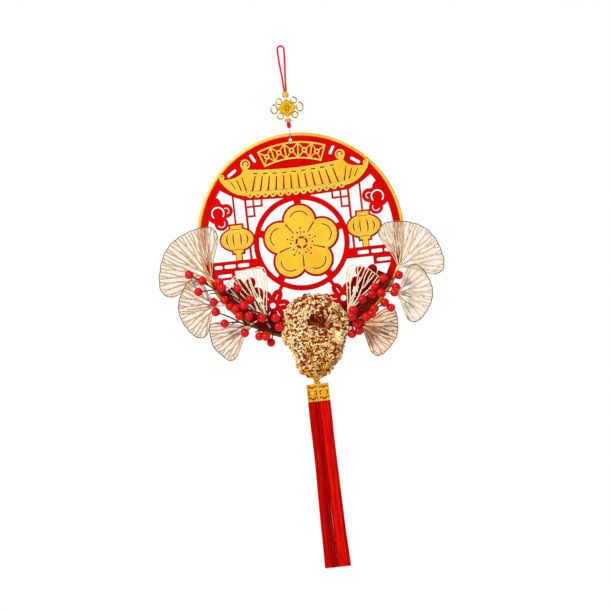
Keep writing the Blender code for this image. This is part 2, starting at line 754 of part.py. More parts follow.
def along_route(route, share):
    """The point at a share of a route's length."""
    runs = [(Vector(b) - Vector(a)).length for a, b in zip(route, route[1:])]
    left = share * sum(runs)
    for a, b, run in zip(route, route[1:], runs):
        if left <= run:
            return Vector(a).lerp(Vector(b), left / run)
        left -= run
    return Vector(route[-1])


def build_sprays(finish, parent):
    for name, (route, berries) in SPRAYS.items():
        pieces = [tube("stem", route, [STEM_R] * len(route), 5)]
        for x, y, z, share in berries:
            centre = Vector((x, y, z))
            start = along_route(route, share)
            if (centre - start).length > BERRY_R * 0.6:
                pieces.append(tube("stalk", [start, centre], [STALK_R] * 2, 3))
            pieces.append(ball("berry", (x, y, z), BERRY_R))
        place(name, combined(name, pieces), finish, parent, smooth=True)


# Gold flower head, a row for each level: z, centre x, half width, front y and back y
FLOWER_ROWS = (
    (-169.8, 0.5, 5.0, -15, -5),
    (-167.5, 0.5, 12.5, -22, -4),
    (-162, 0.5, 18.5, -27, -3.2),
    (-155, 2.5, 23.5, -32, -2.8),
    (-147, 5.0, 27.0, -35, -2.4),
    (-139, 6.0, 29.0, -37, -2.4),
    (-131, 4.5, 32.0, -39, -2.4),
    (-124, 3.0, 37.0, -41, -2.4),
    (-116, 5.0, 39.5, -42, -2.4),
    (-107, 7.0, 38.0, -42, -1.9),
    (-98, 6.5, 35.5, -41, -1.9),
    (-90, 4.5, 32.0, -38, -1.9),
    (-83, 3.5, 27.0, -33, -2.2),
    (-77, 3.5, 19.0, -26, -4),
    (-73, 4.0, 9.0, -18, -8),
)
FLOWER_SIDES = 26
FLOWER_BUMP = 1.7
DIMPLE = (9.0, -107.0, 12.0, 15.0)


def build_flower(finish, parent):
    """A lumpy head of packed florets, with a hollow where their stems meet."""
    spread = random.Random(7)
    rings = []
    for row, (z, x, half, front, back) in enumerate(FLOWER_ROWS):
        middle, deep = (front + back) / 2, (back - front) / 2
        ring = []
        for i in range(FLOWER_SIDES):
            turn = 2 * math.pi * (i + 0.5 * (row % 2)) / FLOWER_SIDES
            bump = spread.uniform(-1, 1) * FLOWER_BUMP if 0 < row < len(FLOWER_ROWS) - 1 else 0.0
            px = x + (half + bump) * math.cos(turn)
            py = middle + (deep + bump) * math.sin(turn)
            hollow = math.hypot(px - DIMPLE[0], z - DIMPLE[1]) / DIMPLE[2]
            if py < middle:
                py += DIMPLE[3] * math.exp(-hollow * hollow)
            ring.append((px, min(py, back), z + (bump * 0.6 if row > 1 else 0.0)))
        rings.append(ring)
    place("gold_flower", ring_stack("gold_flower", rings), finish, parent)


# Tassels
CAP_TOP = -179.6
CAP_H = 21.0
CAP_W = 13.2
CAP_WALL = 1.1
TASSEL_END = -401.8
TASSEL_X = CAP_W / 2 + 0.15
STRANDS = 6


def build_tassel_bead(finish, parent):
    top = FLOWER_ROWS[0][0] - GAP
    low = CAP_TOP + GAP
    span = top - low
    rows = ((3.0, 0.0), (4.3, 0.1), (4.5, 0.25), (3.2, 0.42), (4.4, 0.55), (5.0, 0.72), (4.4, 0.9), (3.0, 1.0))
    profile = [(r, low + span * t) for r, t in rows]
    place("bead_tassel", turned("bead_tassel", profile, 12), finish, parent, (0, TASSEL_Y, 0), smooth=True)


def open_box(name, half, wall, low, high):
    """A square cap, open below."""
    inner = half - wall
    corners = ((-1, -1), (1, -1), (1, 1), (-1, 1))
    levels = ((half, low), (half, high), (inner, low), (inner, high - wall))
    points = [(cx * size, cy * size, z) for size, z in levels for cx, cy in corners]
    faces = [(4, 5, 6, 7), (15, 14, 13, 12)]
    for i in range(4):
        j = (i + 1) % 4
        faces.append((i, j, 4 + j, 4 + i))
        faces.append((8 + j, 8 + i, 12 + i, 12 + j))
        faces.append((j, i, 8 + i, 8 + j))
    return mesh_of(name, points, faces)


def build_caps(finish, parent):
    middle = CAP_TOP - CAP_H / 2
    half_x, half_z, width = 4.0, 6.9, 1.9
    slots = []
    for turn in (0, 90, 180, 270):
        reach = 24 if turn % 180 else 30
        ring = arc_slot((0, 0), 1.0, 0.0, turn - reach, turn + reach, 3)
        outer = [(x * (half_x + width / 2), middle + z * (half_z + width / 2)) for x, z in ring[:4]]
        inner = [(x * (half_x - width / 2), middle + z * (half_z - width / 2)) for x, z in ring[4:]]
        slots.append(("add", outer + inner))
    for name, side in (("cap_left", -1), ("cap_right", 1)):
        box = open_box("box", CAP_W / 2, CAP_WALL, CAP_TOP - CAP_H, CAP_TOP)
        cutter = sheet("cutter", slots, CAP_W + 4, -CAP_W / 2 - 2)
        mesh = combined(name, [box, cutter], "DIFFERENCE")
        place(name, mesh, finish, parent, (side * TASSEL_X, TASSEL_Y, 0))


def strand_rows(side):
    """Levels down a tassel: z, then the skein's centre x, half width and half depth."""
    lean = 0.6 if side > 0 else 0.0
    head = CAP_W / 2 - CAP_WALL - GAP
    return (
        (CAP_TOP - CAP_H + 0.2, 0.0, head, head),
        (CAP_TOP - CAP_H - 5.0, -0.1 * side, 6.25, 6.2),
        (TASSEL_END, side * 0.6 + lean, 7.3 + lean, 5.4),
    )


def tassel_mesh(name, side):
    """A square head with four-sided strands hanging from its underside."""
    spread = random.Random(11 + side)
    rows = strand_rows(side)
    root_z, _, head, _ = rows[0]
    top_z = CAP_TOP - CAP_WALL - GAP
    cell = 2 * head / STRANDS
    lattice = [(-head + cell * i, -head + cell * j, root_z) for j in range(STRANDS + 1) for i in range(STRANDS + 1)]
    points = list(lattice)
    faces = []

    def at(i, j):
        return j * (STRANDS + 1) + i

    top = len(points)
    corners = [(0, 0), (STRANDS, 0), (STRANDS, STRANDS), (0, STRANDS)]
    points += [(*lattice[at(i, j)][:2], top_z) for i, j in corners]
    faces.append((top, top + 1, top + 2, top + 3))
    for k in range(4):
        (i0, j0), (i1, j1) = corners[k], corners[(k + 1) % 4]
        run = [at(i0 + (i1 - i0) * s // STRANDS, j0 + (j1 - j0) * s // STRANDS) for s in range(STRANDS + 1)]
        faces += [(run[s], run[s + 1], top + k) for s in range(STRANDS)]
        faces.append((run[-1], top + (k + 1) % 4, top + k))
    corner_signs = ((-1, -1), (1, -1), (1, 1), (-1, 1))
    for j in range(STRANDS):
        for i in range(STRANDS):
            share_x = (i + 0.5) / STRANDS * 2 - 1
            share_y = (j + 0.5) / STRANDS * 2 - 1
            rim = [at(i, j), at(i + 1, j), at(i + 1, j + 1), at(i, j + 1)]
            drop = spread.uniform(-0.7, 0.0)
            for level, (z, x, half_x, half_y) in enumerate(rows[1:], start=1):
                thick_x = half_x / STRANDS - 0.17
                thick_y = half_y / STRANDS - 0.17
                here_z = z - drop if level == len(rows) - 1 else z
                first = len(points)
                for sx, sy in corner_signs:
                    points.append((x + share_x * half_x + sx * thick_x, share_y * half_y + sy * thick_y, here_z))
                ring = list(range(first, first + 4))
                for k in range(4):
                    m = (k + 1) % 4
                    faces.append((rim[m], rim[k], ring[k], ring[m]))
                rim = ring
            faces.append(tuple(reversed(rim)))
    return mesh_of(name, points, faces)


def build_tassels(finish, parent):
    for name, side in (("tassel_left", -1), ("tassel_right", 1)):
        place(name, tassel_mesh(name, side), finish, parent, (side * TASSEL_X, TASSEL_Y, 0))


def main():
    clear_scene()
    centre = bpy.data.objects.new("disc_centre", None)
    bpy.context.scene.collection.objects.link(centre)
    centre.location = (0, 0, -DISC_DROP * MM)
    red_cord = material("red_cord", (0.50, 0.02, 0.015), 0.7)
    bead_gold = material("bead_gold", (0.85, 0.60, 0.18), 0.3, 0.8)
    charm_gold = material("charm_gold", (0.86, 0.62, 0.08), 0.35, 0.7)
    brass = material("brass_wire", (0.72, 0.56, 0.30), 0.35, 0.9)
    hoop_gold = material("hoop_gold", (0.88, 0.66, 0.22), 0.3, 0.8)
    panel_red = material("panel_red", (0.80, 0.005, 0.01), 0.75)
    overlay_gold = material("overlay_gold", (0.95, 0.57, 0.05), 0.5, 0.2)
    leaf_gold = material("leaf_gold", (0.83, 0.66, 0.42), 0.35, 0.6)
    berry_red = material("berry_red", (0.62, 0.01, 0.015), 0.25)
    flower_gold = material("flower_gold", (0.72, 0.47, 0.16), 0.4, 0.6)
    tassel_red = material("tassel_red", (0.62, 0.01, 0.01), 0.55)
    build_cord(red_cord, centre)
    build_charm(charm_gold, bead_gold, red_cord, brass, centre)
    build_disc(panel_red, overlay_gold, hoop_gold, centre)
    build_leaves(leaf_gold, centre)
    build_sprays(berry_red, centre)
    build_flower(flower_gold, centre)
    build_tassel_bead(bead_gold, centre)
    build_caps(charm_gold, centre)
    build_tassels(tassel_red, centre)


main()
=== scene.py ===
"""Looks of the new-year wall tassel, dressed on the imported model.

Shapes are in millimetres: x to the right, y away from the viewer and z up, from the disc's centre.
"""

import math
import random

import bpy
import numpy as np
from mathutils import Matrix, Vector
from mathutils.geometry import delaunay_2d_cdt


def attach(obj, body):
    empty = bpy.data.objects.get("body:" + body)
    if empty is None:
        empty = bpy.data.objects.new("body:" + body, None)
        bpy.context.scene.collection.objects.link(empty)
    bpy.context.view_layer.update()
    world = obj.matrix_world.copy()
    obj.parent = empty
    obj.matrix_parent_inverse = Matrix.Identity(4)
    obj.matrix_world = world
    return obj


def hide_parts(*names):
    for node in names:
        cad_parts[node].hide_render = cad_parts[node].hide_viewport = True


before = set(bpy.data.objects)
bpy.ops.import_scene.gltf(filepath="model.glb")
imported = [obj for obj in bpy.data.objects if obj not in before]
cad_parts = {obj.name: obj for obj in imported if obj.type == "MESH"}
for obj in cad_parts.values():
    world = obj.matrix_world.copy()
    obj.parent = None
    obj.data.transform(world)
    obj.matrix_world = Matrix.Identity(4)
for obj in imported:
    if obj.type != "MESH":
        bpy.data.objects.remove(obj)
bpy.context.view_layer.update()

MM = 0.001
DISC_DROP = 230.0
GAP = 0.3
# Set a little way into the hoop
PANEL_R = 121.6
PANEL_T = 3.0
RIM_INNER_R = 112.5
HOOP_R = 123.0
HOOP_TUBE_R = 1.9
OVERLAY_T = 1.4
LEAF_T = 1.0
BERRY_R = 5.4
TASSEL_Y = -10.0
PANEL_FRONT = -PANEL_T / 2
OVERLAY_FRONT = PANEL_FRONT - GAP - OVERLAY_T
LEAF_BACK = -HOOP_TUBE_R - GAP - 0.1

# Longest chord on a cut curve
CHORD = 0.9


# Camera: a long lens straight at the front, rolled as the photograph is
def make_camera():
    data = bpy.data.cameras.new("camera")
    camera = bpy.data.objects.new("camera", data)
    bpy.context.scene.collection.objects.link(camera)
    away, width = 4.0, 0.740
    data.sensor_width = 36.0
    data.lens = 36.0 * away / width
    data.clip_end = 50
    right = Vector((0.99397, 0, -0.10965))
    up = Vector((0.10965, 0, 0.99397))
    back = Vector((0, -1, 0))
    aim = Vector((-0.0033, 0, -0.3148))
    turn = Matrix((right, up, back)).transposed().to_4x4()
    camera.matrix_world = Matrix.Translation(aim + back * away) @ turn
    bpy.context.scene.camera = camera


make_camera()


# Materials
# Where a finish's two tones begin on its noise, and the height of its bump
TONE_STOPS = (0.36, 0.62)
BUMP_DEPTH = 0.0004
# Colour sockets of a Mix node
MIX_A, MIX_B, MIX_OUT = 6, 7, 2


def node(tree, kind, feeds=(), numbers=(), **settings):
    """A shader node with its settings, the sockets that feed it and its fixed inputs."""
    made = tree.nodes.new("ShaderNode" + kind)
    for key, value in settings.items():
        setattr(made, key, value)
    for socket, value in numbers:
        made.inputs[socket].default_value = value
    for socket, source in feeds:
        tree.links.new(source, made.inputs[socket])
    return made


def mix_colours(tree, share, first, second):
    """From a fixed colour to the colour of a socket, by share."""
    made = node(tree, "Mix", [(0, share), (MIX_B, second)], [(MIX_A, (*first, 1))], data_type="RGBA")
    return made.outputs[MIX_OUT]


def finish(name, colour, other, scale, rough, metal=0.0, bump=0.0, bump_scale=None, gloss=0.5, stretch=None):
    """A Principled material whose colour drifts between two tones, with a fine bump."""
    made = bpy.data.materials.new(name)
    made.use_nodes = True
    tree = made.node_tree
    shader = tree.nodes["Principled BSDF"]
    shader.inputs["Roughness"].default_value = rough
    shader.inputs["Metallic"].default_value = metal
    shader.inputs["Specular IOR Level"].default_value = gloss
    source = node(tree, "TexCoord").outputs["Object"]
    if stretch:
        source = node(tree, "Mapping", [("Vector", source)], [("Scale", stretch)]).outputs["Vector"]
    noise = node(tree, "TexNoise", [("Vector", source)], [("Scale", scale), ("Detail", 4.0)])
    ramp = node(tree, "ValToRGB", [("Fac", noise.outputs["Fac"])])
    for element, stop, tone in zip(ramp.color_ramp.elements, TONE_STOPS, (other, colour)):
        element.position = stop
        element.color = (*tone, 1)
    tree.links.new(ramp.outputs["Color"], shader.inputs["Base Color"])
    if bump:
        fine = [("Scale", bump_scale or scale), ("Detail", 3.0)]
        grain = node(tree, "TexNoise", [("Vector", source)], fine)
        height = [("Height", grain.outputs["Fac"])]
        relief = node(tree, "Bump", height, [("Strength", bump), ("Distance", BUMP_DEPTH)])
        tree.links.new(relief.outputs["Normal"], shader.inputs["Normal"])
    return made


# Colour, other tone, scale, roughness, metal, bump, scale of the bump, gloss and stretch
FINISHES = {
    "cord_red": ((0.80, 0.010, 0.007), (0.52, 0.004, 0.003), 900, 0.6, 0, 0.5, 3000, 0.1),
    "bead_gold": ((0.96, 0.63, 0.10), (0.84, 0.48, 0.05), 120, 0.24, 0.6, 0.1, 700, 0.3),
    "charm_gold": ((0.94, 0.62, 0.02), (0.86, 0.52, 0.012), 150, 0.4, 0.35, 0.15, 900, 0.1),
    "charm_dark": ((0.52, 0.25, 0.02), (0.38, 0.17, 0.01), 150, 0.4, 0.6, 0.15, 900, 0.15),
    "wire_gold": ((0.66, 0.46, 0.17), (0.45, 0.28, 0.08), 400, 0.36, 0.8, 0.3, 1800),
    "cap_gold": ((1.0, 0.62, 0.05), (0.82, 0.42, 0.015), 150, 0.34, 0.5, 0.2, 900, 0.3),
    "brass": ((0.62, 0.48, 0.28), (0.40, 0.28, 0.13), 400, 0.35, 0.9, 0.1, 900),
    "hoop_gold": ((0.96, 0.60, 0.08), (0.84, 0.46, 0.04), 30, 0.42, 0.35, 0.05, 300, 0.2),
    "panel_red": ((0.66, 0.0015, 0.0010), (0.58, 0.001, 0.0008), 90, 0.6, 0, 0.35, 2600, 0.02),
    "panel_edge_shade": ((0.26, 0.0008, 0.0008), (0.18, 0.0005, 0.0005), 400, 0.7, 0, 0.3, 2600, 0.04),
    "overlay_gold": ((0.94, 0.56, 0.035), (0.88, 0.49, 0.024), 40, 0.42, 0.1, 0.12, 1500, 0.15),
    "overlay_edge_highlight": ((1.0, 0.84, 0.30), (0.97, 0.70, 0.16), 300, 0.4, 0.1, 0.12, 1500, 0.3),
    "overlay_shadow_backing": ((0.22, 0.004, 0.001), (0.14, 0.002, 0.001), 300, 0.7, 0, 0.3, 2600, 0.04),
    "leaf_cream": ((1.0, 0.86, 0.60), (0.88, 0.68, 0.40), 260, 0.4, 0.1, 0.3, 1800, 0.3),
    "leaf_champagne": ((0.90, 0.66, 0.38), (0.70, 0.44, 0.20), 260, 0.42, 0.15, 0.3, 1800, 0.3),
    "leaf_film": ((0.96, 0.66, 0.38), (0.82, 0.50, 0.26), 260, 0.5, 0.05, 0.3, 1800, 0.2),
    "leaf_pale": ((1.0, 0.88, 0.68), (1.0, 0.76, 0.52), 260, 0.4, 0.0, 0.3, 1800, 0.3),
    "leaf_haze": ((0.95, 0.82, 0.64), (0.84, 0.66, 0.46), 260, 0.5, 0.0, 0.3, 1800, 0.1),
    "leaf_rim_brown_and_shade": ((0.34, 0.16, 0.055), (0.20, 0.085, 0.025), 260, 0.45, 0.1, 0.3, 1800, 0.15),
    "leaf_tan": ((0.66, 0.35, 0.15), (0.46, 0.21, 0.07), 260, 0.42, 0.15, 0.3, 1800, 0.2),
    "berry_red": ((0.74, 0.0015, 0.0025), (0.54, 0.001, 0.0015), 120, 0.3, 0, 0.02, 500, 0.22),
    "stem_brown": ((0.20, 0.010, 0.006), (0.09, 0.005, 0.003), 500, 0.55, 0, 0.5, 1500, 0.12),
    "floret_cream": ((1.0, 0.88, 0.54), (1.0, 0.70, 0.30), 300, 0.32, 0.05, 0.3, 1600, 0.4),
    "floret_gold": ((1.0, 0.62, 0.18), (0.84, 0.42, 0.08), 300, 0.3, 0.2, 0.3, 1600, 0.3),
    "floret_amber": ((0.66, 0.28, 0.04), (0.46, 0.16, 0.02), 300, 0.32, 0.25, 0.3, 1600, 0.3),
    "floret_yellow": ((1.0, 0.60, 0.03), (0.86, 0.42, 0.01), 300, 0.32, 0.25, 0.3, 1600, 0.3),
    "floret_body_shade": ((0.46, 0.10, 0.016), (0.28, 0.045, 0.007), 300, 0.5, 0, 0.5, 900, 0.15),
    "floret_maroon_shade": ((0.40, 0.020, 0.005), (0.18, 0.008, 0.002), 300, 0.5, 0, 0.4, 1600, 0.12),
    "thread_bright": ((1.0, 0.012, 0.005), (0.78, 0.003, 0.002), 60, 0.38, 0.1, 0, None, 0.1, (8, 8, 1)),
    "thread_mid": ((0.62, 0.002, 0.002), (0.48, 0.001, 0.001), 60, 0.4, 0.1, 0, None, 0.1, (8, 8, 1)),
    "thread_dark_shade": ((0.36, 0.001, 0.001), (0.24, 0.001, 0.001), 60, 0.5, 0, 0, None, 0.1, (8, 8, 1)),
    "floor_pale": ((0.80, 0.80, 0.79), (0.77, 0.77, 0.76), 3, 0.8),
}
look = {name: finish(name, *row) for name, row in FINISHES.items()}

# The leaves and berries shade the board and hoop: centre x on both sides, centre z and reach, in metres
SHADED = ((0.080, -0.304, 0.031), (0.056, -0.336, 0.027))
SHADE_EDGE = (0.7, 1.15)
SHADE_BACK_Y = 0.0006


def shade_places(name, dark):
    """Darken a finish softly round these places, on the front alone."""
    tree = look[name].node_tree
    shader = tree.nodes["Principled BSDF"]
    tone = shader.inputs["Base Color"].links[0].from_socket
    place = node(tree, "TexCoord").outputs["Object"]
    fold = node(tree, "VectorMath", [(0, place)], operation="ABSOLUTE")
    flat = node(tree, "VectorMath", [(0, fold.outputs["Vector"])], [(1, (1, 0, -1))], operation="MULTIPLY")
    nearest = None
    for x, z, reach in SHADED:
        away = node(tree, "VectorMath", [(0, flat.outputs["Vector"])], [(1, (x, 0, z))], operation="DISTANCE")
        share = node(tree, "Math", [(0, away.outputs["Value"])], [(1, reach)], operation="DIVIDE")
        if nearest is not None:
            shares = [(0, nearest.outputs["Value"]), (1, share.outputs["Value"])]
            share = node(tree, "Math", shares, operation="MINIMUM")
        nearest = share
    edge = [("From Min", SHADE_EDGE[0]), ("From Max", SHADE_EDGE[1])]
    near = [("Value", nearest.outputs["Value"])]
    fade = node(tree, "MapRange", near, edge, interpolation_type="SMOOTHSTEP")
    split = node(tree, "SeparateXYZ", [("Vector", place)])
    behind = node(tree, "Math", [(0, split.outputs["Y"])], [(1, SHADE_BACK_Y)], operation="GREATER_THAN")
    ends = [(0, fade.outputs["Result"]), (1, behind.outputs["Value"])]
    clear = node(tree, "Math", ends, operation="MAXIMUM")
    tree.links.new(mix_colours(tree, clear.outputs["Value"], dark, tone), shader.inputs["Base Color"])


shade_places("panel_red", (0.20, 0.0006, 0.0005))
shade_places("hoop_gold", (0.30, 0.15, 0.015))


# Joined meshes
class Soup:
    """The points, faces and material numbers of one joined mesh."""

    def __init__(self):
        self.points = []
        self.faces = []
        self.marks = []

    def add(self, points, faces, mark=0):
        first = len(self.points)
        self.points += points
        self.faces += [tuple(first + p for p in face) for face in faces]
        self.marks += [mark] * len(faces) if isinstance(mark, int) else mark

    def take(self, part, place):
        """Add another joined mesh, with each of its points placed anew."""
        self.add([Vector(place(p)) for p in part.points], part.faces)


def band(low, high, sides):
    """The faces between two rows of points, given by their first points."""
    return [(low + k, low + (k + 1) % sides, high + (k + 1) % sides, high + k) for k in range(sides)]


def piece(name, soup, finishes, nodes, smooth=True, sharp=35):
    """A piece of the scene that stands for these CAD nodes."""
    mesh = bpy.data.meshes.new(name)
    points = np.array([tuple(p) for p in soup.points], float) * MM
    points[:, 2] -= DISC_DROP * MM
    mesh.from_pydata(points.tolist(), [], soup.faces)
    for made in finishes:
        mesh.materials.append(look[made])
    mesh.polygons.foreach_set("material_index", soup.marks)
    if smooth:
        mesh.shade_smooth()
        mesh.set_sharp_from_angle(angle=math.radians(sharp))
    mesh.update()
    obj = bpy.data.objects.new(name, mesh)
    bpy.context.scene.collection.objects.link(obj)
    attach(obj, "root")
    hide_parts(*nodes)
    return obj


def tube(soup, route, radii, sides, mark=0, flat=1.0, side=None, lobes=None):
    """A closed tube along points in space. flat squeezes it across its side direction."""
    route = [Vector(p) for p in route]
    count = len(route)
    if isinstance(radii, (int, float)):
        radii = [radii] * count
    side = Vector(side) if side is not None else None
    points, faces = [], []
    for i, here in enumerate(route):
        along = (route[min(i + 1, count - 1)] - route[max(i - 1, 0)]).normalized()
        if side is None:
            side = along.orthogonal()
        side = (side - along * side.dot(along)).normalized()
        up = along.cross(side)
        for k in range(sides):
            turn = 2 * math.pi * (k + 0.5) / sides
            r = radii[i] * (lobes(i, turn) if lobes else 1.0)
            points.append(here + side * (math.cos(turn) * r) + up * (math.sin(turn) * r * flat))
    for i in range(count - 1):
        faces += band(i * sides, (i + 1) * sides, sides)
    faces.append(tuple(reversed(range(sides))))
    faces.append(tuple(range((count - 1) * sides, count * sides)))
    soup.add(points, faces, mark)


def lathe(soup, profile, centre=(0, 0), sides=40, mark=0, wave=None):
    """A turned body from (radius, z) rows, bottom to top."""
    points, faces = [], []
    for radius, z in profile:
        for k in range(sides):
            turn = 2 * math.pi * k / sides
            r = radius * (wave(turn, z) if wave else 1.0)
            points.append(Vector((centre[0] + r * math.cos(turn), centre[1] + r * math.sin(turn), z)))
    for i in range(len(profile) - 1):
        faces += band(i * sides, (i + 1) * sides, sides)
    faces.append(tuple(reversed(range(sides))))
    last = (len(profile) - 1) * sides
    faces.append(tuple(range(last, last + sides)))
    soup.add(points, faces, mark)


def ball(soup, centre, radius, sides=22, rows=13, mark=0, axis=(0, 0, 1), dimple=0.0):
    """A round berry, which may be pinched in at its end."""
    turn = Vector((0, 0, 1)).rotation_difference(Vector(axis)).to_matrix()
    points = [Vector((0, 0, -radius))]
    for row in range(1, rows):
        tilt = math.pi * row / rows
        here = radius * (1 - dimple * math.exp(-((math.pi - tilt) / 0.35) ** 2))
        for k in range(sides):
            a = 2 * math.pi * k / sides
            out = math.sin(tilt)
            points.append(Vector((out * math.cos(a), out * math.sin(a), -math.cos(tilt))) * here)
    points.append(Vector((0, 0, radius * (1 - dimple))))
    last = 1 + (rows - 2) * sides
    faces = [(0, 1 + (k + 1) % sides, 1 + k) for k in range(sides)]
    faces += [(last + k, last + (k + 1) % sides, len(points) - 1) for k in range(sides)]
    for row in range(rows - 2):
        faces += band(1 + row * sides, 1 + (row + 1) * sides, sides)
    soup.add([Vector(centre) + turn @ p for p in points], faces, mark)


# Plan outlines, as lists of (x, z)
def polar(radius, degrees, centre=(0.0, 0.0)):
    angle = math.radians(degrees)
    return (centre[0] + radius * math.cos(angle), centre[1] + radius * math.sin(angle))


def arc(centre, radius, start, end, steps=None):
    if steps is None:
        steps = max(3, round(abs(math.radians(end - start)) * radius / CHORD))
    return [polar(radius, start + (end - start) * i / steps, centre) for i in range(steps + 1)]


def circle(x, z, radius, steps=None):
    if steps is None:
        steps = max(12, round(2 * math.pi * radius / CHORD))
    return arc((x, z), radius, 0, 360, steps)[:-1]


def ellipse(x, z, half_x, half_z):
    steps = max(16, round(2 * math.pi * max(half_x, half_z) / CHORD))
    return [(x + half_x * c, z + half_z * s) for c, s in circle(0, 0, 1, steps)]


def rectangle(x0, z0, x1, z1):
    return [(x0, z0), (x1, z0), (x1, z1), (x0, z1)]


def bar(start, end, width, end_width=None):
    """A straight bar between two points, which may taper."""
    along = (Vector(end) - Vector(start)).normalized()
    side = Vector((-along.y, along.x)) / 2
    a, b = side * width, side * (width if end_width is None else end_width)
    return [tuple(p) for p in (Vector(start) + a, Vector(start) - a, Vector(end) - b, Vector(end) + b)]


def slot(start, end, width):
    """A straight slot with round ends."""
    heading = math.degrees(math.atan2(end[1] - start[1], end[0] - start[0]))
    near = arc(start, width / 2, heading + 90, heading + 270, 8)
    return near + arc(end, width / 2, heading - 90, heading + 90, 8)


def arc_slot(centre, radius, width, start, end):
    """A curved slot with round ends."""
    outer = arc(centre, radius + width / 2, start, end)
    inner = arc(centre, radius - width / 2, end, start)
    far = arc(polar(radius, end, centre), width / 2, end, end + 180, 6)[1:-1]
    near = arc(polar(radius, start, centre), width / 2, start + 180, start + 360, 6)[1:-1]
    return outer + far + inner + near


def lens(x, z, half_height, half_width, bow, steps=14):
    """An upright slot with pointed ends, bowed sideways."""
    rise = [-1 + 2 * i / steps for i in range(steps + 1)]
    right = [(x + (bow + half_width) * (1 - t * t), z + half_height * t) for t in rise]
    left = [(x + (bow - half_width) * (1 - t * t), z + half_height * t) for t in rise]
    return right + left[-2:0:-1]


def bezier(start, control, end, steps=18):
    a, b, c = Vector(start), Vector(control), Vector(end)
    ts = [i / steps for i in range(steps + 1)]
    return [tuple(a * (1 - t) ** 2 + b * 2 * t * (1 - t) + c * t * t) for t in ts]


def diamond(x, z, half):
    return [(x + half, z), (x, z + half), (x - half, z), (x, z - half)]


def mirrored(outline):
    return [(-x, z) for x, z in reversed(outline)]


def both(layers):
    return layers + [(mode, mirrored(outline)) for mode, outline in layers]


def moved(outline, x, z):
    return [(x + px, z + pz) for px, pz in outline]


# Sheets cut to a plan
def add(*outlines):
    return [("add", outline) for outline in outlines]


def cut(*outlines):
    return [("cut", outline) for outline in outlines]


def inside(points, outline):
    hit = np.zeros(len(points), bool)
    for (x0, z0), (x1, z1) in zip(outline, outline[1:] + outline[:1]):
        if z0 == z1:
            continue
        crosses = (z0 > points[:, 1]) != (z1 > points[:, 1])
        hit ^= crosses & (points[:, 0] < x0 + (points[:, 1] - z0) * (x1 - x0) / (z1 - z0))
    return hit


def solid_at(points, layers):
    """Painted in order: add and cut fill or clear an outline, and clip clears all outside it."""
    solid = np.zeros(len(points), bool)
    for mode, outline in layers:
        held = inside(points, outline)
        if mode == "clip":
            solid &= held
        else:
            solid[held] = mode == "add"
    return solid


def fill(layers):
    """Triangles of the plan between its outlines, where the layers are solid."""
    points, edges = [], []
    for _, outline in layers:
        first = len(points)
        points += outline
        edges += [(first + i, first + (i + 1) % len(outline)) for i in range(len(outline))]
    plan, _, faces, *_ = delaunay_2d_cdt([Vector(p) for p in points], edges, [], 0, 0.004, False)
    plan = np.array([tuple(p) for p in plan])
    faces = np.array([tuple(f) for f in faces])
    faces = faces[solid_at(plan[faces].mean(axis=1), layers)]
    a, b, c = (plan[faces[:, i]] for i in range(3))
    area = (b[:, 0] - a[:, 0]) * (c[:, 1] - a[:, 1]) - (b[:, 1] - a[:, 1]) * (c[:, 0] - a[:, 0])
    faces[area < 0] = faces[area < 0][:, ::-1]
    return plan, faces


def sheet(soup, layers, thickness, front, mark=0, round_by=0.28, origin=(0, 0), edge_mark=None, grow=0.0):
    """A sheet cut to its layers with its edges eased, facing -y."""
    edge_mark = mark if edge_mark is None else edge_mark
    plan, faces = fill(layers)
    used, back_to = np.unique(faces, return_inverse=True)
    plan, faces = plan[used], back_to.reshape(faces.shape)
    directed = {(f[i], f[(i + 1) % 3]) for f in faces.tolist() for i in range(3)}
    rim = [(a, b) for a, b in sorted(directed) if (b, a) not in directed]
    # Each rim point's way in, from the two cut edges that meet there
    inward = np.zeros_like(plan)
    for a, b in rim:
        run = plan[b] - plan[a]
        length = math.hypot(*run) or 1.0
        normal = np.array((-run[1], run[0])) / length
        inward[a] += normal
        inward[b] += normal
    size = np.linalg.norm(inward, axis=1)
    on_rim = size > 1e-6
    inward[on_rim] /= size[on_rim][:, None]
    count = len(plan)
    plan = plan - inward * grow
    eased = plan + inward * round_by
    x0, z0 = origin
    points = []
    back = front + thickness
    for flat, y in ((eased, front), (plan, front + round_by), (plan, back - round_by), (eased, back)):
        points += [Vector((x + x0, y, z + z0)) for x, z in flat]
    body = [tuple(f) for f in faces.tolist()]
    body += [tuple(3 * count + p for p in reversed(f)) for f in faces.tolist()]
    marks = [mark] * len(body)
    for level in range(3):
        near, far = level * count, (level + 1) * count
        body += [(near + b, near + a, far + a, far + b) for a, b in rim]
        marks += [edge_mark] * len(rim)
    soup.add(points, body, marks)


# Hanging cord, a twisted two-ply thread
CORD_R = 1.0
CORD_FOOT_Z = 175.5
CORD_FOOT_HALF = 1.15
CORD_TURN_R = 3.9
CORD_TURN_Z = DISC_DROP + CORD_R - CORD_TURN_R


def cord_route(leg_steps=60, turn_steps=28):
    leg = []
    for i in range(leg_steps):
        t = i / leg_steps
        ease = t * t * (3 - 2 * t)
        x = CORD_FOOT_HALF + (CORD_TURN_R - CORD_FOOT_HALF) * ease
        leg.append((-x, CORD_FOOT_Z + (CORD_TURN_Z - CORD_FOOT_Z) * t))
    top = arc((0, CORD_TURN_Z), CORD_TURN_R, 180, 0, turn_steps)
    return leg + top + [(-x, z) for x, z in reversed(leg)]


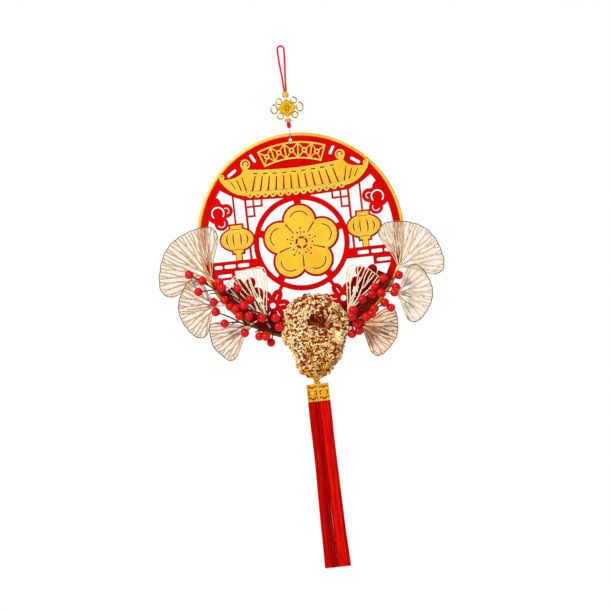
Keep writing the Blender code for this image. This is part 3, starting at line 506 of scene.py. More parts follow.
def make_cord():
    route = [(x, 0.0, z) for x, z in cord_route()]
    runs = [0.0]
    for a, b in zip(route, route[1:]):
        runs.append(runs[-1] + math.dist(a, b))
    fine = []
    steps = 420
    for i in range(steps + 1):
        at = runs[-1] * i / steps
        k = min(max(1, int(np.searchsorted(runs, at))), len(runs) - 1)
        share = (at - runs[k - 1]) / (runs[k] - runs[k - 1])
        fine.append(Vector(route[k - 1]).lerp(Vector(route[k]), share))
    pitch = 3.4

    def lobes(i, turn):
        twist = 2 * math.pi * runs[-1] * i / steps / pitch
        return 1.02 + 0.14 * abs(math.cos(1.5 * turn - 1.5 * twist))

    soup = Soup()
    tube(soup, fine, CORD_R, 18, side=(0, 1, 0), lobes=lobes)
    obj = piece("cord_loop", soup, ["cord_red"], ["hang_cord"])


make_cord()


# Charm
CHARM_Z = 155.6
CHARM_HALF = 12.3
CHARM_LOOPS = ((8.9, 8.8, 3.5, 3.5), (15.6, 0.2, 3.8, 5.3), (8.8, -8.8, 3.6, 3.6))
CHARM_LOW = CHARM_Z - CHARM_HALF - GAP
BEAD_LOW_H = 4.2
WRAP_TOP = CHARM_LOW - BEAD_LOW_H - GAP


def oval(centre, half_x, half_z, y=0.0, steps=40):
    turns = [2 * math.pi * i / steps for i in range(steps)]
    return [(centre[0] + half_x * math.cos(turn), y, centre[1] + half_z * math.sin(turn)) for turn in turns]


def ring(soup, points, radius, sides=8, mark=0):
    """A closed wire ring through points in the plan."""
    points = [Vector(p) for p in points]
    count = len(points)
    verts, faces = [], []
    for i, here in enumerate(points):
        along = (points[(i + 1) % count] - points[i - 1]).normalized()
        out = along.cross(Vector((0, 1, 0))).normalized()
        for k in range(sides):
            turn = 2 * math.pi * k / sides
            verts.append(here + out * (radius * math.cos(turn)) + Vector((0, radius * math.sin(turn), 0)))
    for i in range(count):
        faces += band(i * sides, (i + 1) % count * sides, sides)
    soup.add(verts, faces, mark)


def make_charm():
    soup = Soup()
    sheet(soup, add(diamond(0, CHARM_Z, CHARM_HALF - 0.4)), 2.4, -1.2, 1, 0.5)
    sheet(soup, add(diamond(0, CHARM_Z, CHARM_HALF - 2.2)), 1.7, -2.8, 0, 0.45)
    for half, y, r in ((11.3, -1.45, 0.5), (11.3, 1.25, 0.5), (8.6, -2.85, 0.32), (8.0, 1.25, 0.5)):
        corners = [(x, y, z) for x, z in diamond(0, CHARM_Z, half)]
        for a, b in zip(corners, corners[1:] + corners[:1]):
            tube(soup, [a, b], r, 8)
    # A four-petal knot in low relief on both faces
    for y in (-2.85, 1.2):
        ring(soup, oval((0, CHARM_Z), 2.0, 2.0, y, 28), 0.4, 6, 1)
        for turn in (0, 90, 180, 270):
            half = (1.9, 1.4) if turn % 180 == 0 else (1.4, 1.9)
            ring(soup, oval(polar(3.6, turn, (0, CHARM_Z)), *half, y, 24), 0.38, 6, 1)
        for turn in (45, 135, 225, 315):
            a, b = polar(2.6, turn, (0, CHARM_Z)), polar(4.9, turn, (0, CHARM_Z))
            tube(soup, [(a[0], y, a[1]), (b[0], y, b[1])], 0.36, 6, mark=1)
    for side in (-1, 1):
        for x, z, half_x, half_z in CHARM_LOOPS:
            for grow, y in ((0.45, 0.35), (-0.45, -0.35)):
                ring(soup, oval((side * x, CHARM_Z + z), half_x + grow, half_z + grow, y), 0.46, 8, 2)
    tones = ["charm_gold", "charm_dark", "wire_gold"]
    piece("knot_gold", soup, tones, ["knot_charm", "knot_plaque"])


def fluted(turn, z):
    return 1 + 0.03 * math.cos(10 * turn)


def make_beads():
    soup = Soup()
    top = CHARM_Z + CHARM_HALF + GAP
    rows = [(0.42, 0.0), (0.62, 0.04), (0.8, 0.12), (0.93, 0.24), (1.0, 0.38), (0.95, 0.47)]
    rows += [(0.95, 0.53), (1.0, 0.62), (0.93, 0.76), (0.8, 0.88), (0.62, 0.96), (0.42, 1.0)]
    high = CORD_FOOT_Z - GAP
    lathe(soup, [(4.1 * r, top + (high - top) * t) for r, t in rows], wave=fluted)
    low = CHARM_LOW - BEAD_LOW_H
    lathe(soup, [(4.4 * r, low + BEAD_LOW_H * t) for r, t in rows], wave=fluted)
    piece("beads_gold", soup, ["bead_gold"], ["bead_top", "bead_low"])
    soup = Soup()
    profile = []
    for i in range(73):
        t = i / 72
        z = WRAP_TOP - 7.2 * (1 - t)
        body = np.interp(t, (0, 0.12, 0.45, 0.85, 1), (1.5, 2.2, 2.6, 2.5, 2.1))
        profile.append((body * (1 + 0.035 * math.cos(2 * math.pi * t * 12)), z))
    lathe(soup, profile, sides=32)
    piece("wrap_thread", soup, ["cord_red"], ["thread_wrap"], sharp=80)


HOLE_Z = 117.0
HOLE_R = 2.0
LINK_R = 0.5
LINK_HALF_Y = HOOP_TUBE_R + 2 * GAP + LINK_R


def make_link():
    top = WRAP_TOP - 7.3 - GAP
    low = HOLE_Z + HOLE_R * math.cos(math.pi / 8) - GAP - LINK_R - 0.05
    bend_r = 1.6
    near_top = top - 5.0
    half = [(LINK_R + 0.12, top), (LINK_R + 0.2, top - 1.2), (LINK_HALF_Y - 0.6, near_top + 1.0)]
    half += [(LINK_HALF_Y, near_top - 1.0), (LINK_HALF_Y, low + bend_r)]
    half += arc((LINK_HALF_Y - bend_r, low + bend_r), bend_r, 0, -90, 8)[1:]
    route = [(0, -y, z) for y, z in half] + [(0, y, z) for y, z in reversed(half)]
    soup = Soup()
    tube(soup, route, LINK_R, 10)
    piece("link_gold", soup, ["brass"], ["link_wire"], sharp=70)


# Disc
RING_Z = -8.0
RING_OUTER = 58.0
RING_INNER = 51.5
BLOSSOM_PETALS = 5
DAISY_PETALS = 6
PETAL_R = 18.5
PETAL_OUT = 26.5
LANTERN_X = 77.0
LANTERN_Z = 4.0
LANTERN_HALF_X = 19.5
LANTERN_HALF_Z = 13.2
BORDER = 2.2
EAVE_Z = 52.5


def lantern_body(grow=0.0):
    wide, tall = LANTERN_HALF_X + grow, LANTERN_HALF_Z + grow
    return add(
        ellipse(0, 0, wide, tall),
        rectangle(-7 - grow, 10, 7 + grow, 17.2 + grow),
        rectangle(-6 - grow, -16 - grow, 6 + grow, -10),
        rectangle(-3.2 - grow / 2, -25.2, 3.2 + grow / 2, -14),
    )


def petals(radius):
    turns = [90 + 360 * i / BLOSSOM_PETALS for i in range(BLOSSOM_PETALS)]
    centres = [polar(PETAL_OUT, turn, (0, RING_Z)) for turn in turns]
    return turns, centres, [("add", circle(x, z, radius)) for x, z in centres]


def daisy(x, z, tied=True):
    layers = add(circle(x, z, 10))
    for i in range(DAISY_PETALS):
        turn = 2 * math.pi * i / DAISY_PETALS
        spun = [
            (px * math.cos(turn) - pz * math.sin(turn), px * math.sin(turn) + pz * math.cos(turn))
            for px, pz in ellipse(12.8, 0, 8.2, 6.4)
        ]
        layers += add(moved(spun, x, z))
    if tied:
        to_ring = (Vector((0, RING_Z)) - Vector((x, z))).normalized() * 31
        layers += add(bar((x, z), tuple(Vector((x, z)) + to_ring), 4.5))
        for i in range(DAISY_PETALS):
            turn = 360 * i / DAISY_PETALS
            layers += cut(slot(polar(8.4, turn, (x, z)), polar(14.6, turn, (x, z)), 0.8))
        layers += cut(circle(x, z, 3.4))
    return layers


def cloud(x, z):
    layers = [("add", circle(x + dx, z + dz, r)) for dx, dz, r in ((0, 0, 13), (-11, 2, 8.5), (-4, -13, 8.5))]
    layers += add(circle(x + 3, z + 11, 9))
    layers += cut(arc_slot((x - 1, z), 7.2, 1.7, -40, 215))
    layers += cut(arc_slot((x - 11, z + 2), 3.6, 1.0, 60, 250))
    layers += cut(arc_slot((x - 4, z - 13), 4.2, 1.0, 150, 330))
    return layers


def panel_layers():
    crown = [(-130, 130), (-130, 66), (-93, 66), (-80, 57.5), (-64, 50), (0, 47)]
    crown += [(64, 50), (80, 57.5), (93, 66), (130, 66), (130, 130)]
    layers = [
        ("add", circle(0, 0, PANEL_R)),
        ("cut", circle(0, 0, RIM_INNER_R)),
        ("add", crown),
        ("clip", circle(0, 0, PANEL_R)),
        ("add", arc((0, 0), PANEL_R - 3, -150, -30) + arc((0, 0), 102.0, -30, -150)),
        ("add", circle(0, RING_Z, RING_OUTER)),
        ("cut", circle(0, RING_Z, RING_INNER)),
    ]
    _, centres, backing = petals(PETAL_R + 2.8)
    layers += backing + add(circle(0, RING_Z, 24))
    for x, z in centres:
        out = (Vector((x, z)) - Vector((0, RING_Z))).normalized()
        tip = Vector((0, RING_Z)) + out * (RING_INNER + 3)
        layers += add(bar((x, z), tuple(tip), 9))
    right = daisy(43, -80) + daisy(74, -62, tied=False) + cloud(98, 38)
    right += add(
        bar((62.5, 54), (62.5, -28), 2.8),
        bar((43, 54), (43, 40.5), 2.4),
        bar((41.8, 41.7), (62.5, 41.7), 2.4),
        bar((53, 54), (53, 29), 2.4),
        bar((51.8, 30.2), (62.5, 30.2), 2.4),
        rectangle(52, -33.5, 114, -21),
        rectangle(84, -43.5, 114, -30),
        bar((LANTERN_X, 60), (LANTERN_X, 20), 2.4),
    )
    right += [(mode, moved(outline, LANTERN_X, LANTERN_Z)) for mode, outline in lantern_body(BORDER)]
    right += cut(
        slot((68, -27.5), (77.5, -27.5), 4.4),
        slot((84.5, -27.5), (94, -27.5), 4.4),
        slot((100.5, -27.5), (106, -27.5), 4.4),
        slot((90, -38.3), (103, -38.3), 4.0),
        slot((46, 96), (50, 103), 3.4),
        slot((71, 87), (79, 81.5), 3.6),
    )
    return layers + both(right) + [("clip", circle(0, 0, PANEL_R)), ("cut", circle(0, HOLE_Z, HOLE_R))]


def ridge_z(x):
    return 83.0 + 3.6 * (x / 56) ** 2


def eave_z(x):
    return EAVE_Z + 2.6 * (x / 58) ** 2


def roof_layers():
    ridge = [(x, ridge_z(x)) for x in range(0, 57, 7)]
    hip = bezier((60.5, 89.0), (62, 76.5), (85.5, 77.0))
    tip = arc((87.6, 80.2), 3.4, 200, -40)
    sweep = bezier((90.6, 77.2), (80, 57.5), (60, eave_z(60)))
    eave = [(x, eave_z(x)) for x in range(50, -1, -10)]
    half = ridge + hip + tip + sweep + eave
    layers = [("add", half + mirrored(half)[1:-1])]
    tile_pitch, tile_r = 9.3, 3.7
    for i in range(-6, 7):
        x, z = i * tile_pitch, eave_z(i * tile_pitch)
        layers += add(circle(x, z + 1.2, tile_r))
        layers += cut(circle(x, z + 0.7, 1.15))
        layers += cut(arc_slot((x, z + 1.2), 4.6, 0.45, 35, 145))
    for i in range(-6, 6):
        x = (i + 0.5) * tile_pitch
        layers += cut(bar((x * 0.92, ridge_z(x) - 8.2), (x * 1.02, eave_z(x) + 5.6), 1.3, 2.3))
    for i in range(-4, 5):
        x = i * 11.6
        layers += cut(slot((x - 2.2, ridge_z(x) - 4.6), (x + 2.2, ridge_z(x + 2) - 4.6), 1.5))
    scroll = [
        ("add", circle(57.6, 93.2, 6.0)),
        ("add", bar((57.0, 84.0), (61.4, 92.0), 6.0, 4.4)),
        ("cut", arc_slot((57.2, 93.4), 3.3, 1.3, -20, 230)),
        ("cut", arc_slot((87.4, 80.4), 1.4, 0.7, 20, 200)),
        ("cut", bar((63.5, 78.5), (59.5, 61.0), 1.0, 1.9)),
        ("cut", bar((70, 75.5), (65.5, 62.5), 1.0, 1.7)),
        ("cut", bar((77.5, 74.5), (72.5, 65.0), 0.9, 1.4)),
    ]
    return layers + both(scroll)


def crest_layers():
    low, high, half, cells, frame_w = 93.6, 114.4, 21.5, 5, 2.0
    layers = add(arc((0, 0), high, 90 - half, 90 + half) + arc((0, 0), low, 90 + half, 90 - half))
    step = 2 * half / cells
    wall = 0.55
    hub = (low + high) / 2
    for i in range(cells):
        start, end = 90 - half + i * step + wall, 90 - half + (i + 1) * step - wall
        start += wall if i == 0 else 0
        end -= wall if i == cells - 1 else 0
        inner, outer = low + frame_w, high - frame_w
        layers += cut(arc((0, 0), outer, start, end) + arc((0, 0), inner, end, start))
        middle = (start + end) / 2
        for edge in (start - wall, end + wall):
            for radius in (inner - 0.6, outer + 0.6):
                layers += add(bar(polar(hub, middle), polar(radius, edge), 1.5))
        layers += add(circle(*polar(hub, middle), 3.4))
        layers += cut(circle(*polar(hub, middle), 1.5))
    layers.append(("clip", layers[0][1]))
    return layers


def blossom_layers():
    turns, centres, layers = petals(PETAL_R)
    hub = (0, RING_Z)
    layers += add(circle(*hub, 20))
    for turn, centre in zip(turns, centres):
        layers += cut(arc_slot(centre, 11.6, 1.3, turn - 62, turn + 62))
        crease = turn + 180 / BLOSSOM_PETALS
        layers += cut(bar(polar(13.5, crease, hub), polar(29.0, crease, hub), 0.8, 1.9))
    layers += [("cut", circle(*hub, 7.6)), ("add", circle(*hub, 5.0))]
    for turn in turns:
        layers += add(bar(polar(3.5, turn + 36, hub), polar(9.0, turn + 36, hub), 2.0))
        for spread, reach in ((-18, 13.0), (0, 17.5), (18, 13.0)):
            layers += cut(circle(*polar(reach, turn + spread, hub), 1.2))
        layers += cut(bar(polar(9.4, turn, hub), polar(14.8, turn, hub), 0.8))
    return layers


def lantern_layers():
    layers = lantern_body()
    for x, bow in ((-9.5, -3.2), (-3.6, -1.2), (3.6, 1.2), (9.5, 3.2)):
        layers += cut(lens(x, 0, 9.6 - abs(x) * 0.16, 0.85, bow))
    layers += cut(rectangle(-5.6, 11.8, 5.6, 12.5))
    layers += cut(rectangle(-4.8, -12.6, 4.8, -11.9))
    return layers


def make_disc():
    soup = Soup()
    turns = np.linspace(0, 2 * math.pi, 360, endpoint=False)
    ring(soup, [(HOOP_R * math.cos(t), 0, HOOP_R * math.sin(t)) for t in turns], HOOP_TUBE_R + 0.25, 16)
    piece("hoop_rim", soup, ["hoop_gold"], ["hoop"], sharp=60)
    soup = Soup()
    # The board's cut edges take a darker red, painted shade along them.
    sheet(soup, panel_layers(), PANEL_T, PANEL_FRONT, round_by=0.6, edge_mark=1)
    piece("panel_cut", soup, ["panel_red", "panel_edge_shade"], ["panel"], smooth=False)
    for name, layers, at in (
        ("roof", roof_layers(), (0, 0)),
        ("crest", crest_layers(), (0, 0)),
        ("blossom", blossom_layers(), (0, 0)),
        ("lantern_left", lantern_layers(), (-LANTERN_X, LANTERN_Z)),
        ("lantern_right", lantern_layers(), (LANTERN_X, LANTERN_Z)),
    ):
        soup = Soup()
        # Gold overlay; its eased edges take a lighter tone, a painted highlight.
        sheet(soup, layers, OVERLAY_T, OVERLAY_FRONT, 0, 0.5, at, 1)
        # A thin dark red sheet under it, 0.45 mm wider all round, as painted shadow on the board.
        sheet(soup, layers, 0.24, PANEL_FRONT - 0.27, 2, 0.05, at, 2, 0.45)
        tones = ["overlay_gold", "overlay_edge_highlight", "overlay_shadow_backing"]
        piece(name + "_cut", soup, tones, [name], smooth=False)


# Ginkgo leaves: base x and z, heading, half spread, radius, lift of the rim, stem length
LEAVES = {
    "leaf_left_top": (-113, -40, 137, 62, 64, 1.5, 5),
    "leaf_left_middle": (-111, -73, 180, 66, 45, 8.0, 17),
    "leaf_left_low": (-74, -101, 205, 37, 49, 13.0, 11),
    "leaf_left_inner": (-52, -99, 111, 27, 68, 4.0, 8),
    "leaf_right_top": (113, -50, 49, 67, 56, 1.5, 5),
    "leaf_right_middle": (107, -81, -7, 66, 43, 8.0, 17),
    "leaf_right_low": (59, -113, -25, 49, 46, 13.0, 8),
    "leaf_right_inner": (46, -99, 62, 24, 59, 4.0, 4),
}
CUP = 2.0
RIB_PITCH = 4.3
HAIR_W = 0.46
# Share of the leaf's radius where its ribs end, under the rim
RIB_END = 0.985


def fan_radius(radius, share):
    return radius * (1 - 0.06 * share ** 4 - 0.17 * share ** 14 + 0.012 * math.cos(7 * share))


def smooth(t):
    t = min(max(t, 0.0), 1.0)
    return t * t * (3 - 2 * t)


def make_leaf(name, seed, tones, hairs, x0, z0, heading, half_spread, radius, lift, stem):
    """A fan of forking flat ribs in a rim wire, with hair veins between them, bent as its plate is."""
    dice = random.Random(seed)
    soup = Soup()
    turn = math.radians(heading - 90)
    middle_y = LEAF_BACK - LEAF_T / 2

    def at(share, reach, lie=0.0):
        angle = math.radians(90 - half_spread * share * (0.88 + 0.12 * smooth(reach * 1.1)))
        r = fan_radius(radius, share) * reach
        px, pz = r * math.cos(angle), r * math.sin(angle)
        out = max(0.0, math.hypot(px, pz) / radius - 0.08) if pz > 0 else 0.0
        y = middle_y - lift * out ** 1.6 - CUP * (px / radius) ** 2 * out + lie
        x = px * math.cos(turn) - pz * math.sin(turn)
        z = px * math.sin(turn) + pz * math.cos(turn)
        return Vector((x0 + x, y, z0 + z))

    def rib(shares, reaches, wide, thin=0.7, top=0, slope=1, lie=0.0):
        """A flat rib with a light face each way and slopes of another tone; a darker slope tone is painted
        shade.
        """
        route = [at(s, r, lie) for s, r in zip(shares, reaches)]
        count = len(route)
        points, faces, tags = [], [], []
        for i, here in enumerate(route):
            along = (route[min(i + 1, count - 1)] - route[max(i - 1, 0)]).normalized()
            across = along.cross(Vector((0, 1, 0))).normalized()
            deep = across.cross(along).normalized()
            w = wide[i] / 2
            for a, b in ((-0.5, -1), (0.5, -1), (1, 0), (0.5, 1), (-0.5, 1), (-1, 0)):
                points.append(here + across * (w * a) + deep * (thin / 2 * b))
        for i in range(count - 1):
            low, high = i * 6, (i + 1) * 6
            for k in range(6):
                m = (k + 1) % 6
                faces.append((low + k, high + k, high + m, low + m))
                tags.append(top if k in (0, 3) else slope)
        faces.append((0, 1, 2, 3, 4, 5))
        faces.append(tuple(reversed(range((count - 1) * 6, count * 6))))
        tags += [slope, slope]
        soup.add(points, faces, tags)

    ends = max(8, round(2 * math.radians(half_spread) * radius / RIB_PITCH))
    shares = [-1 + 2 * (i + 0.5 + dice.uniform(-0.12, 0.12)) / ends for i in range(ends)]

    def grow(group, parent, start):
        """A rib from where its parent forks, on to its own fork or the rim."""
        own = sum(group) / len(group)
        wave = dice.uniform(-0.5, 0.5) / ends
        if len(group) == 1:
            stop = RIB_END
        else:
            stop = min(0.9, max(start + 0.1, 1.45 / len(group) * dice.uniform(0.8, 1.2)))
        steps = max(4, round((stop - start) * radius / 3.0))
        reaches = [start + (stop - start) * i / steps for i in range(steps + 1)]
        route, wide = [], []
        for reach in reaches:
            turn_in = smooth((reach - start) / min(0.30, stop - start)) if parent is not None else 1.0
            base = own if parent is None else parent + (own - parent) * turn_in
            route.append(base + wave * math.sin(math.pi * (reach - start) / (stop - start)))
            size = 1.4 + 0.2 * min(len(group) - 1, 5) + 0.5 * max(0, 0.35 - reach)
            wide.append(min(size, 0.9 + reach * 9) * dice.uniform(0.92, 1.08))
        rib(route, reaches, wide, lie=-0.08 * min(len(group), 4))
        if len(group) > 1:
            half = min(len(group) - 1, max(1, round(len(group) * dice.uniform(0.38, 0.62))))
            grow(group[:half], own, stop - 0.015)
            grow(group[half:], own, stop - 0.015)

    parts = max(2, round(ends / 6.5))
    cuts = [round(ends * i / parts) for i in range(parts + 1)]
    for a, b in zip(cuts, cuts[1:]):
        grow(shares[a:b], None, 0.02)
    # A strong middle vein
    middle = dice.uniform(-0.2, 0.2)
    spine = [i / 16 for i in range(17)]
    reaches = [0.02 + 0.76 * t for t in spine]
    rib([middle * t for t in spine], reaches, [2.8 - 1.5 * t for t in spine], 0.9, lie=-0.2)
    # Hair veins
    for i in range(-1, ends):
        low = shares[i] if i >= 0 else -0.99
        high = shares[i + 1] if i + 1 < ends else 0.99
        for k in range(hairs):
            own = low + (high - low) * (k + 1) / (hairs + 1)
            start = dice.uniform(0.24, 0.5) * (0.5 if hairs > 4 else 1.0)
            reaches = [start + (RIB_END - start) * j / 7 for j in range(8)]
            wave = [dice.uniform(-0.25, 0.25) / ends for _ in reaches]
            rib([own + w for w in wave], reaches, [0.25] + [HAIR_W] * 7, 0.3, 2, 2, 0.12)
    # Sides and rim
    for s in (-1, 1):
        rib([s] * 17, spine, [1.35] * 17, 0.9)
    steps = max(30, round(2 * half_spread / 1.5))
    around = [math.sin(math.pi / 2 * (-1 + 2 * i / steps)) for i in range(steps + 1)]
    rib(around, [1 + 0.005 * math.sin(31 * s) for s in around], [1.15] * (steps + 1), 0.9, 1, 1)
    # Stem
    down = Vector((math.sin(turn), 0, -math.cos(turn)))
    foot = at(0, 0.0)
    face = (math.cos(turn), 0, math.sin(turn))
    tube(soup, [foot - down * 5, foot, foot + down * stem], [0.8, 1.2, 1.0], 8, mark=0, flat=0.45, side=face)
    piece(name + "_filigree", soup, tones, [name], smooth=False)


def make_leaves():
    for seed, (name, row) in enumerate(LEAVES.items()):
        # Tones: rib faces, then rim and rib slopes, darker on the slopes as painted shade, then hair veins
        tones, hairs = ["leaf_champagne", "leaf_rim_brown_and_shade", "leaf_haze"], 4
        if name.endswith("inner"):
            tones, hairs = ["leaf_pale", "leaf_cream", "leaf_film"], 0
        elif name == "leaf_right_low":
            tones, hairs = ["leaf_tan", "leaf_rim_brown_and_shade", "leaf_film"], 6
        elif "_right_" in name:
            tones = ["leaf_cream", "leaf_rim_brown_and_shade", "leaf_haze"]
        make_leaf(name, seed, tones, hairs, *row)


# Berry sprays: the stem's route, then the berries with the share of the stem where a stalk leaves
FOOT_Y = PANEL_FRONT - GAP - 0.05
SPRAYS = {
    "spray_left_high": (
        (
            (-46, FOOT_Y, -104), (-46, -10, -104), (-70, -19, -84),
            (-97, -20, -62), (-118, -19, -47), (-137, -18, -33),
        ),
        (
            (-139, -18, -32, 0.97), (-124, -20, -41, 0.78), (-130, -20, -54, 0.72), (-104, -19, -45, 0.55),
            (-101, -27, -52, 0.5), (-83, -22, -55, 0.4), (-113, -20, -68, 0.5), (-100, -22, -67, 0.42),
            (-94, -19, -75, 0.36),
        ),
    ),
    "spray_left_middle": (
        ((-42, FOOT_Y, -99), (-42, -14, -99), (-52, -30, -91), (-66, -35, -84), (-80, -36, -79)),
        (
            (-69, -34, -70, 0.72), (-77, -38, -76, 0.9), (-87, -34, -79, 0.98), (-84, -36, -88, 0.8),
            (-73, -40, -89, 0.7), (-57, -36, -93, 0.45), (-41, -33, -95, 0.22),
        ),
    ),
    "spray_left_low": (
        (
            (-40, FOOT_Y, -110), (-40, -12, -110), (-58, -20, -106),
            (-80, -22, -98), (-96, -21, -88), (-108, -20, -82),
        ),
        (
            (-112, -20, -80, 0.98), (-103, -22, -95, 0.7), (-80, -21, -109, 0.5), (-63, -19, -115, 0.3),
            (-55, -27, -116, 0.26), (-50, -18, -124, 0.2), (-38, -28, -106, 0.12),
        ),
    ),
    "spray_right_high": (
        (
            (51, FOOT_Y, -101), (51, -12, -101), (70, -20, -87),
            (88, -21, -75), (103, -20, -64), (110, -19, -61),
        ),
        (
            (112, -19, -60, 0.97), (93, -19, -62, 0.68), (107, -20, -74, 0.75), (104, -29, -80, 0.65),
            (82, -22, -71, 0.5), (77, -25, -79, 0.4), (88, -27, -79, 0.5), (65, -23, -84, 0.28),
        ),
    ),
    "spray_right_middle": (
        ((49, FOOT_Y, -106.5), (49, -16, -106.5), (62, -32, -103), (76, -35, -97), (90, -33, -93)),
        (
            (91, -34, -91, 0.98), (98, -31, -98, 0.94), (52, -35, -96, 0.4), (50, -42, -103, 0.34),
            (74, -36, -103, 0.7), (67, -41, -106, 0.55), (78, -40, -97, 0.75),
        ),
    ),
    "spray_right_low": (
        ((44, FOOT_Y, -109), (44, -12, -109), (52, -22, -116), (58, -25, -120)),
        ((57, -27, -121, 0.95), (48, -24, -124, 0.62), (60, -20, -112, 0.5), (55, -33, -112, 0.4)),
    ),
}


def along_route(route, share):
    runs = [math.dist(a, b) for a, b in zip(route, route[1:])]
    left = share * sum(runs)
    for a, b, run in zip(route, route[1:], runs):
        if left <= run:
            return Vector(a).lerp(Vector(b), left / run)
        left -= run
    return Vector(route[-1])


def smoothed(route, steps=6):
    """A smooth curve through the points."""
    pts = [Vector(p) for p in route]
    pts = [pts[0] * 2 - pts[1]] + pts + [pts[-1] * 2 - pts[-2]]
    made = []
    for a, b, c, d in zip(pts, pts[1:], pts[2:], pts[3:]):
        for i in range(steps):
            t = i / steps
            square, cube = a * 2 - b * 5 + c * 4 - d, b * 3 - a - c * 3 + d
            made.append((b * 2 + (c - a) * t + square * t * t + cube * t ** 3) * 0.5)
    return made + [pts[-2]]


def make_sprays():
    dice = random.Random(3)
    for name, (route, berries) in SPRAYS.items():
        soup = Soup()
        fine = smoothed(route)
        tube(soup, fine, [1.3 - 0.5 * i / len(fine) for i in range(len(fine))], 8, mark=1)
        for x, y, z, share in berries:
            centre = Vector((x, y, z))
            start = along_route(fine, share)
            away = centre - start
            if away.length > 3:
                bow = start.lerp(centre, 0.55) + Vector((0, 1.5, dice.uniform(-1.5, 1.5)))
                stalk = smoothed([start, bow, centre - away.normalized() * 4.2], 4)
                tube(soup, stalk, 0.8, 6, mark=1)
                axis = away.normalized()
            else:
                axis = Vector((dice.uniform(-1, 1), -0.6, dice.uniform(-1, 1))).normalized()
            size = BERRY_R * dice.uniform(0.96, 1.04)
            ball(soup, centre, size, axis=tuple(axis), dimple=0.05)
            ball(soup, centre + axis * size * 0.95, 0.55, 8, 5, mark=1)
            ball(soup, centre - axis * size * 0.93, 1.0, 8, 5, mark=1)
        # Side twigs: dark stems among the berries, which also stand in as painted shade between them
        for _ in range(7 if len(berries) > 4 else 3):
            at = dice.uniform(0.16, 0.8)
            start, ahead = along_route(fine, at), along_route(fine, at + 0.08)
            along = (ahead - start).normalized()
            across = along.cross(Vector((0, 1, 0))).normalized() * dice.choice((-1, 1))
            reach = dice.uniform(9, 17)
            way = along + across * dice.uniform(0.3, 0.7)
            tip = start + way * reach + Vector((0, dice.uniform(0, 3), 0))
            bow = start.lerp(tip, 0.5) + across * dice.uniform(-1.5, 0.5)
            tube(soup, smoothed([start, bow, tip], 4), 0.75, 6, mark=1)
        piece(name + "_berries", soup, ["berry_red", "stem_brown"], [name], sharp=50)


# Gold flower head: z, centre x, half width, front y and back y
FLOWER_ROWS = (
    (-169.8, 0.5, 5.0, -15, -5),
    (-167.5, 0.5, 12.5, -22, -4),
    (-162, 0.5, 18.5, -27, -3.2),
    (-155, 2.5, 23.5, -32, -2.8),
    (-147, 5.0, 27.0, -35, -2.4),
    (-139, 6.0, 29.0, -37, -2.4),
    (-131, 4.5, 32.0, -39, -2.4),
    (-124, 3.0, 37.0, -41, -2.4),
    (-116, 5.0, 39.5, -42, -2.4),
    (-107, 7.0, 38.0, -42, -1.9),
    (-98, 6.5, 35.5, -41, -1.9),
    (-90, 4.5, 32.0, -38, -1.9),
    (-83, 3.5, 27.0, -33, -2.2),
    (-77, 3.5, 19.0, -26, -4),
    (-73, 4.0, 9.0, -18, -8),
)
# Hollow in its front: centre x and z, reach and depth
DIMPLE = (12.0, -105.5, 17.0, 17.0)
# Open place at its top right: centre x and z, and reach
NOTCH = (29.0, -81.0, 7.0)
# Florets: the least room between two, how many at most, and how many places are tried
FLORET_GAP = 2.75
FLORETS = 1700
FLORET_TRIES = 9000
# Threads that fan out of the hollow: first and last angle, count, reach and finishes in turn
THREADS = (
    (15, 62, 10, (14, 19), (0, 4, 0, 0)),
    (-60, -30, 13, (22, 30), (0, 1, 0, 0)),
    (75, 200, 12, (15, 20), (4, 4, 2)),
    (205, 300, 8, (10, 13), (4, 2, 4)),
)
THREAD_ROOT = (16, -24, -110)


def flower_at(level, turn, grow=0.0):
    """A point on the flower's body. level runs from 0 at its foot to 1 at its top."""
    table = np.array(FLOWER_ROWS, float)
    k = level * (len(table) - 1)
    z, x, half, front, back = (np.interp(k, range(len(table)), table[:, c]) for c in range(5))
    middle, deep = (front + back) / 2, (back - front) / 2
    px = x + (half + grow) * math.cos(turn)
    py = middle + (deep + grow) * math.sin(turn)
    if py < middle:
        x0, z0, reach, depth = DIMPLE
        py += depth * math.exp(-(((px - x0) / reach) ** 2 + ((z - z0) / (reach * 0.62)) ** 2))
    return Vector((px, min(py, back), z))


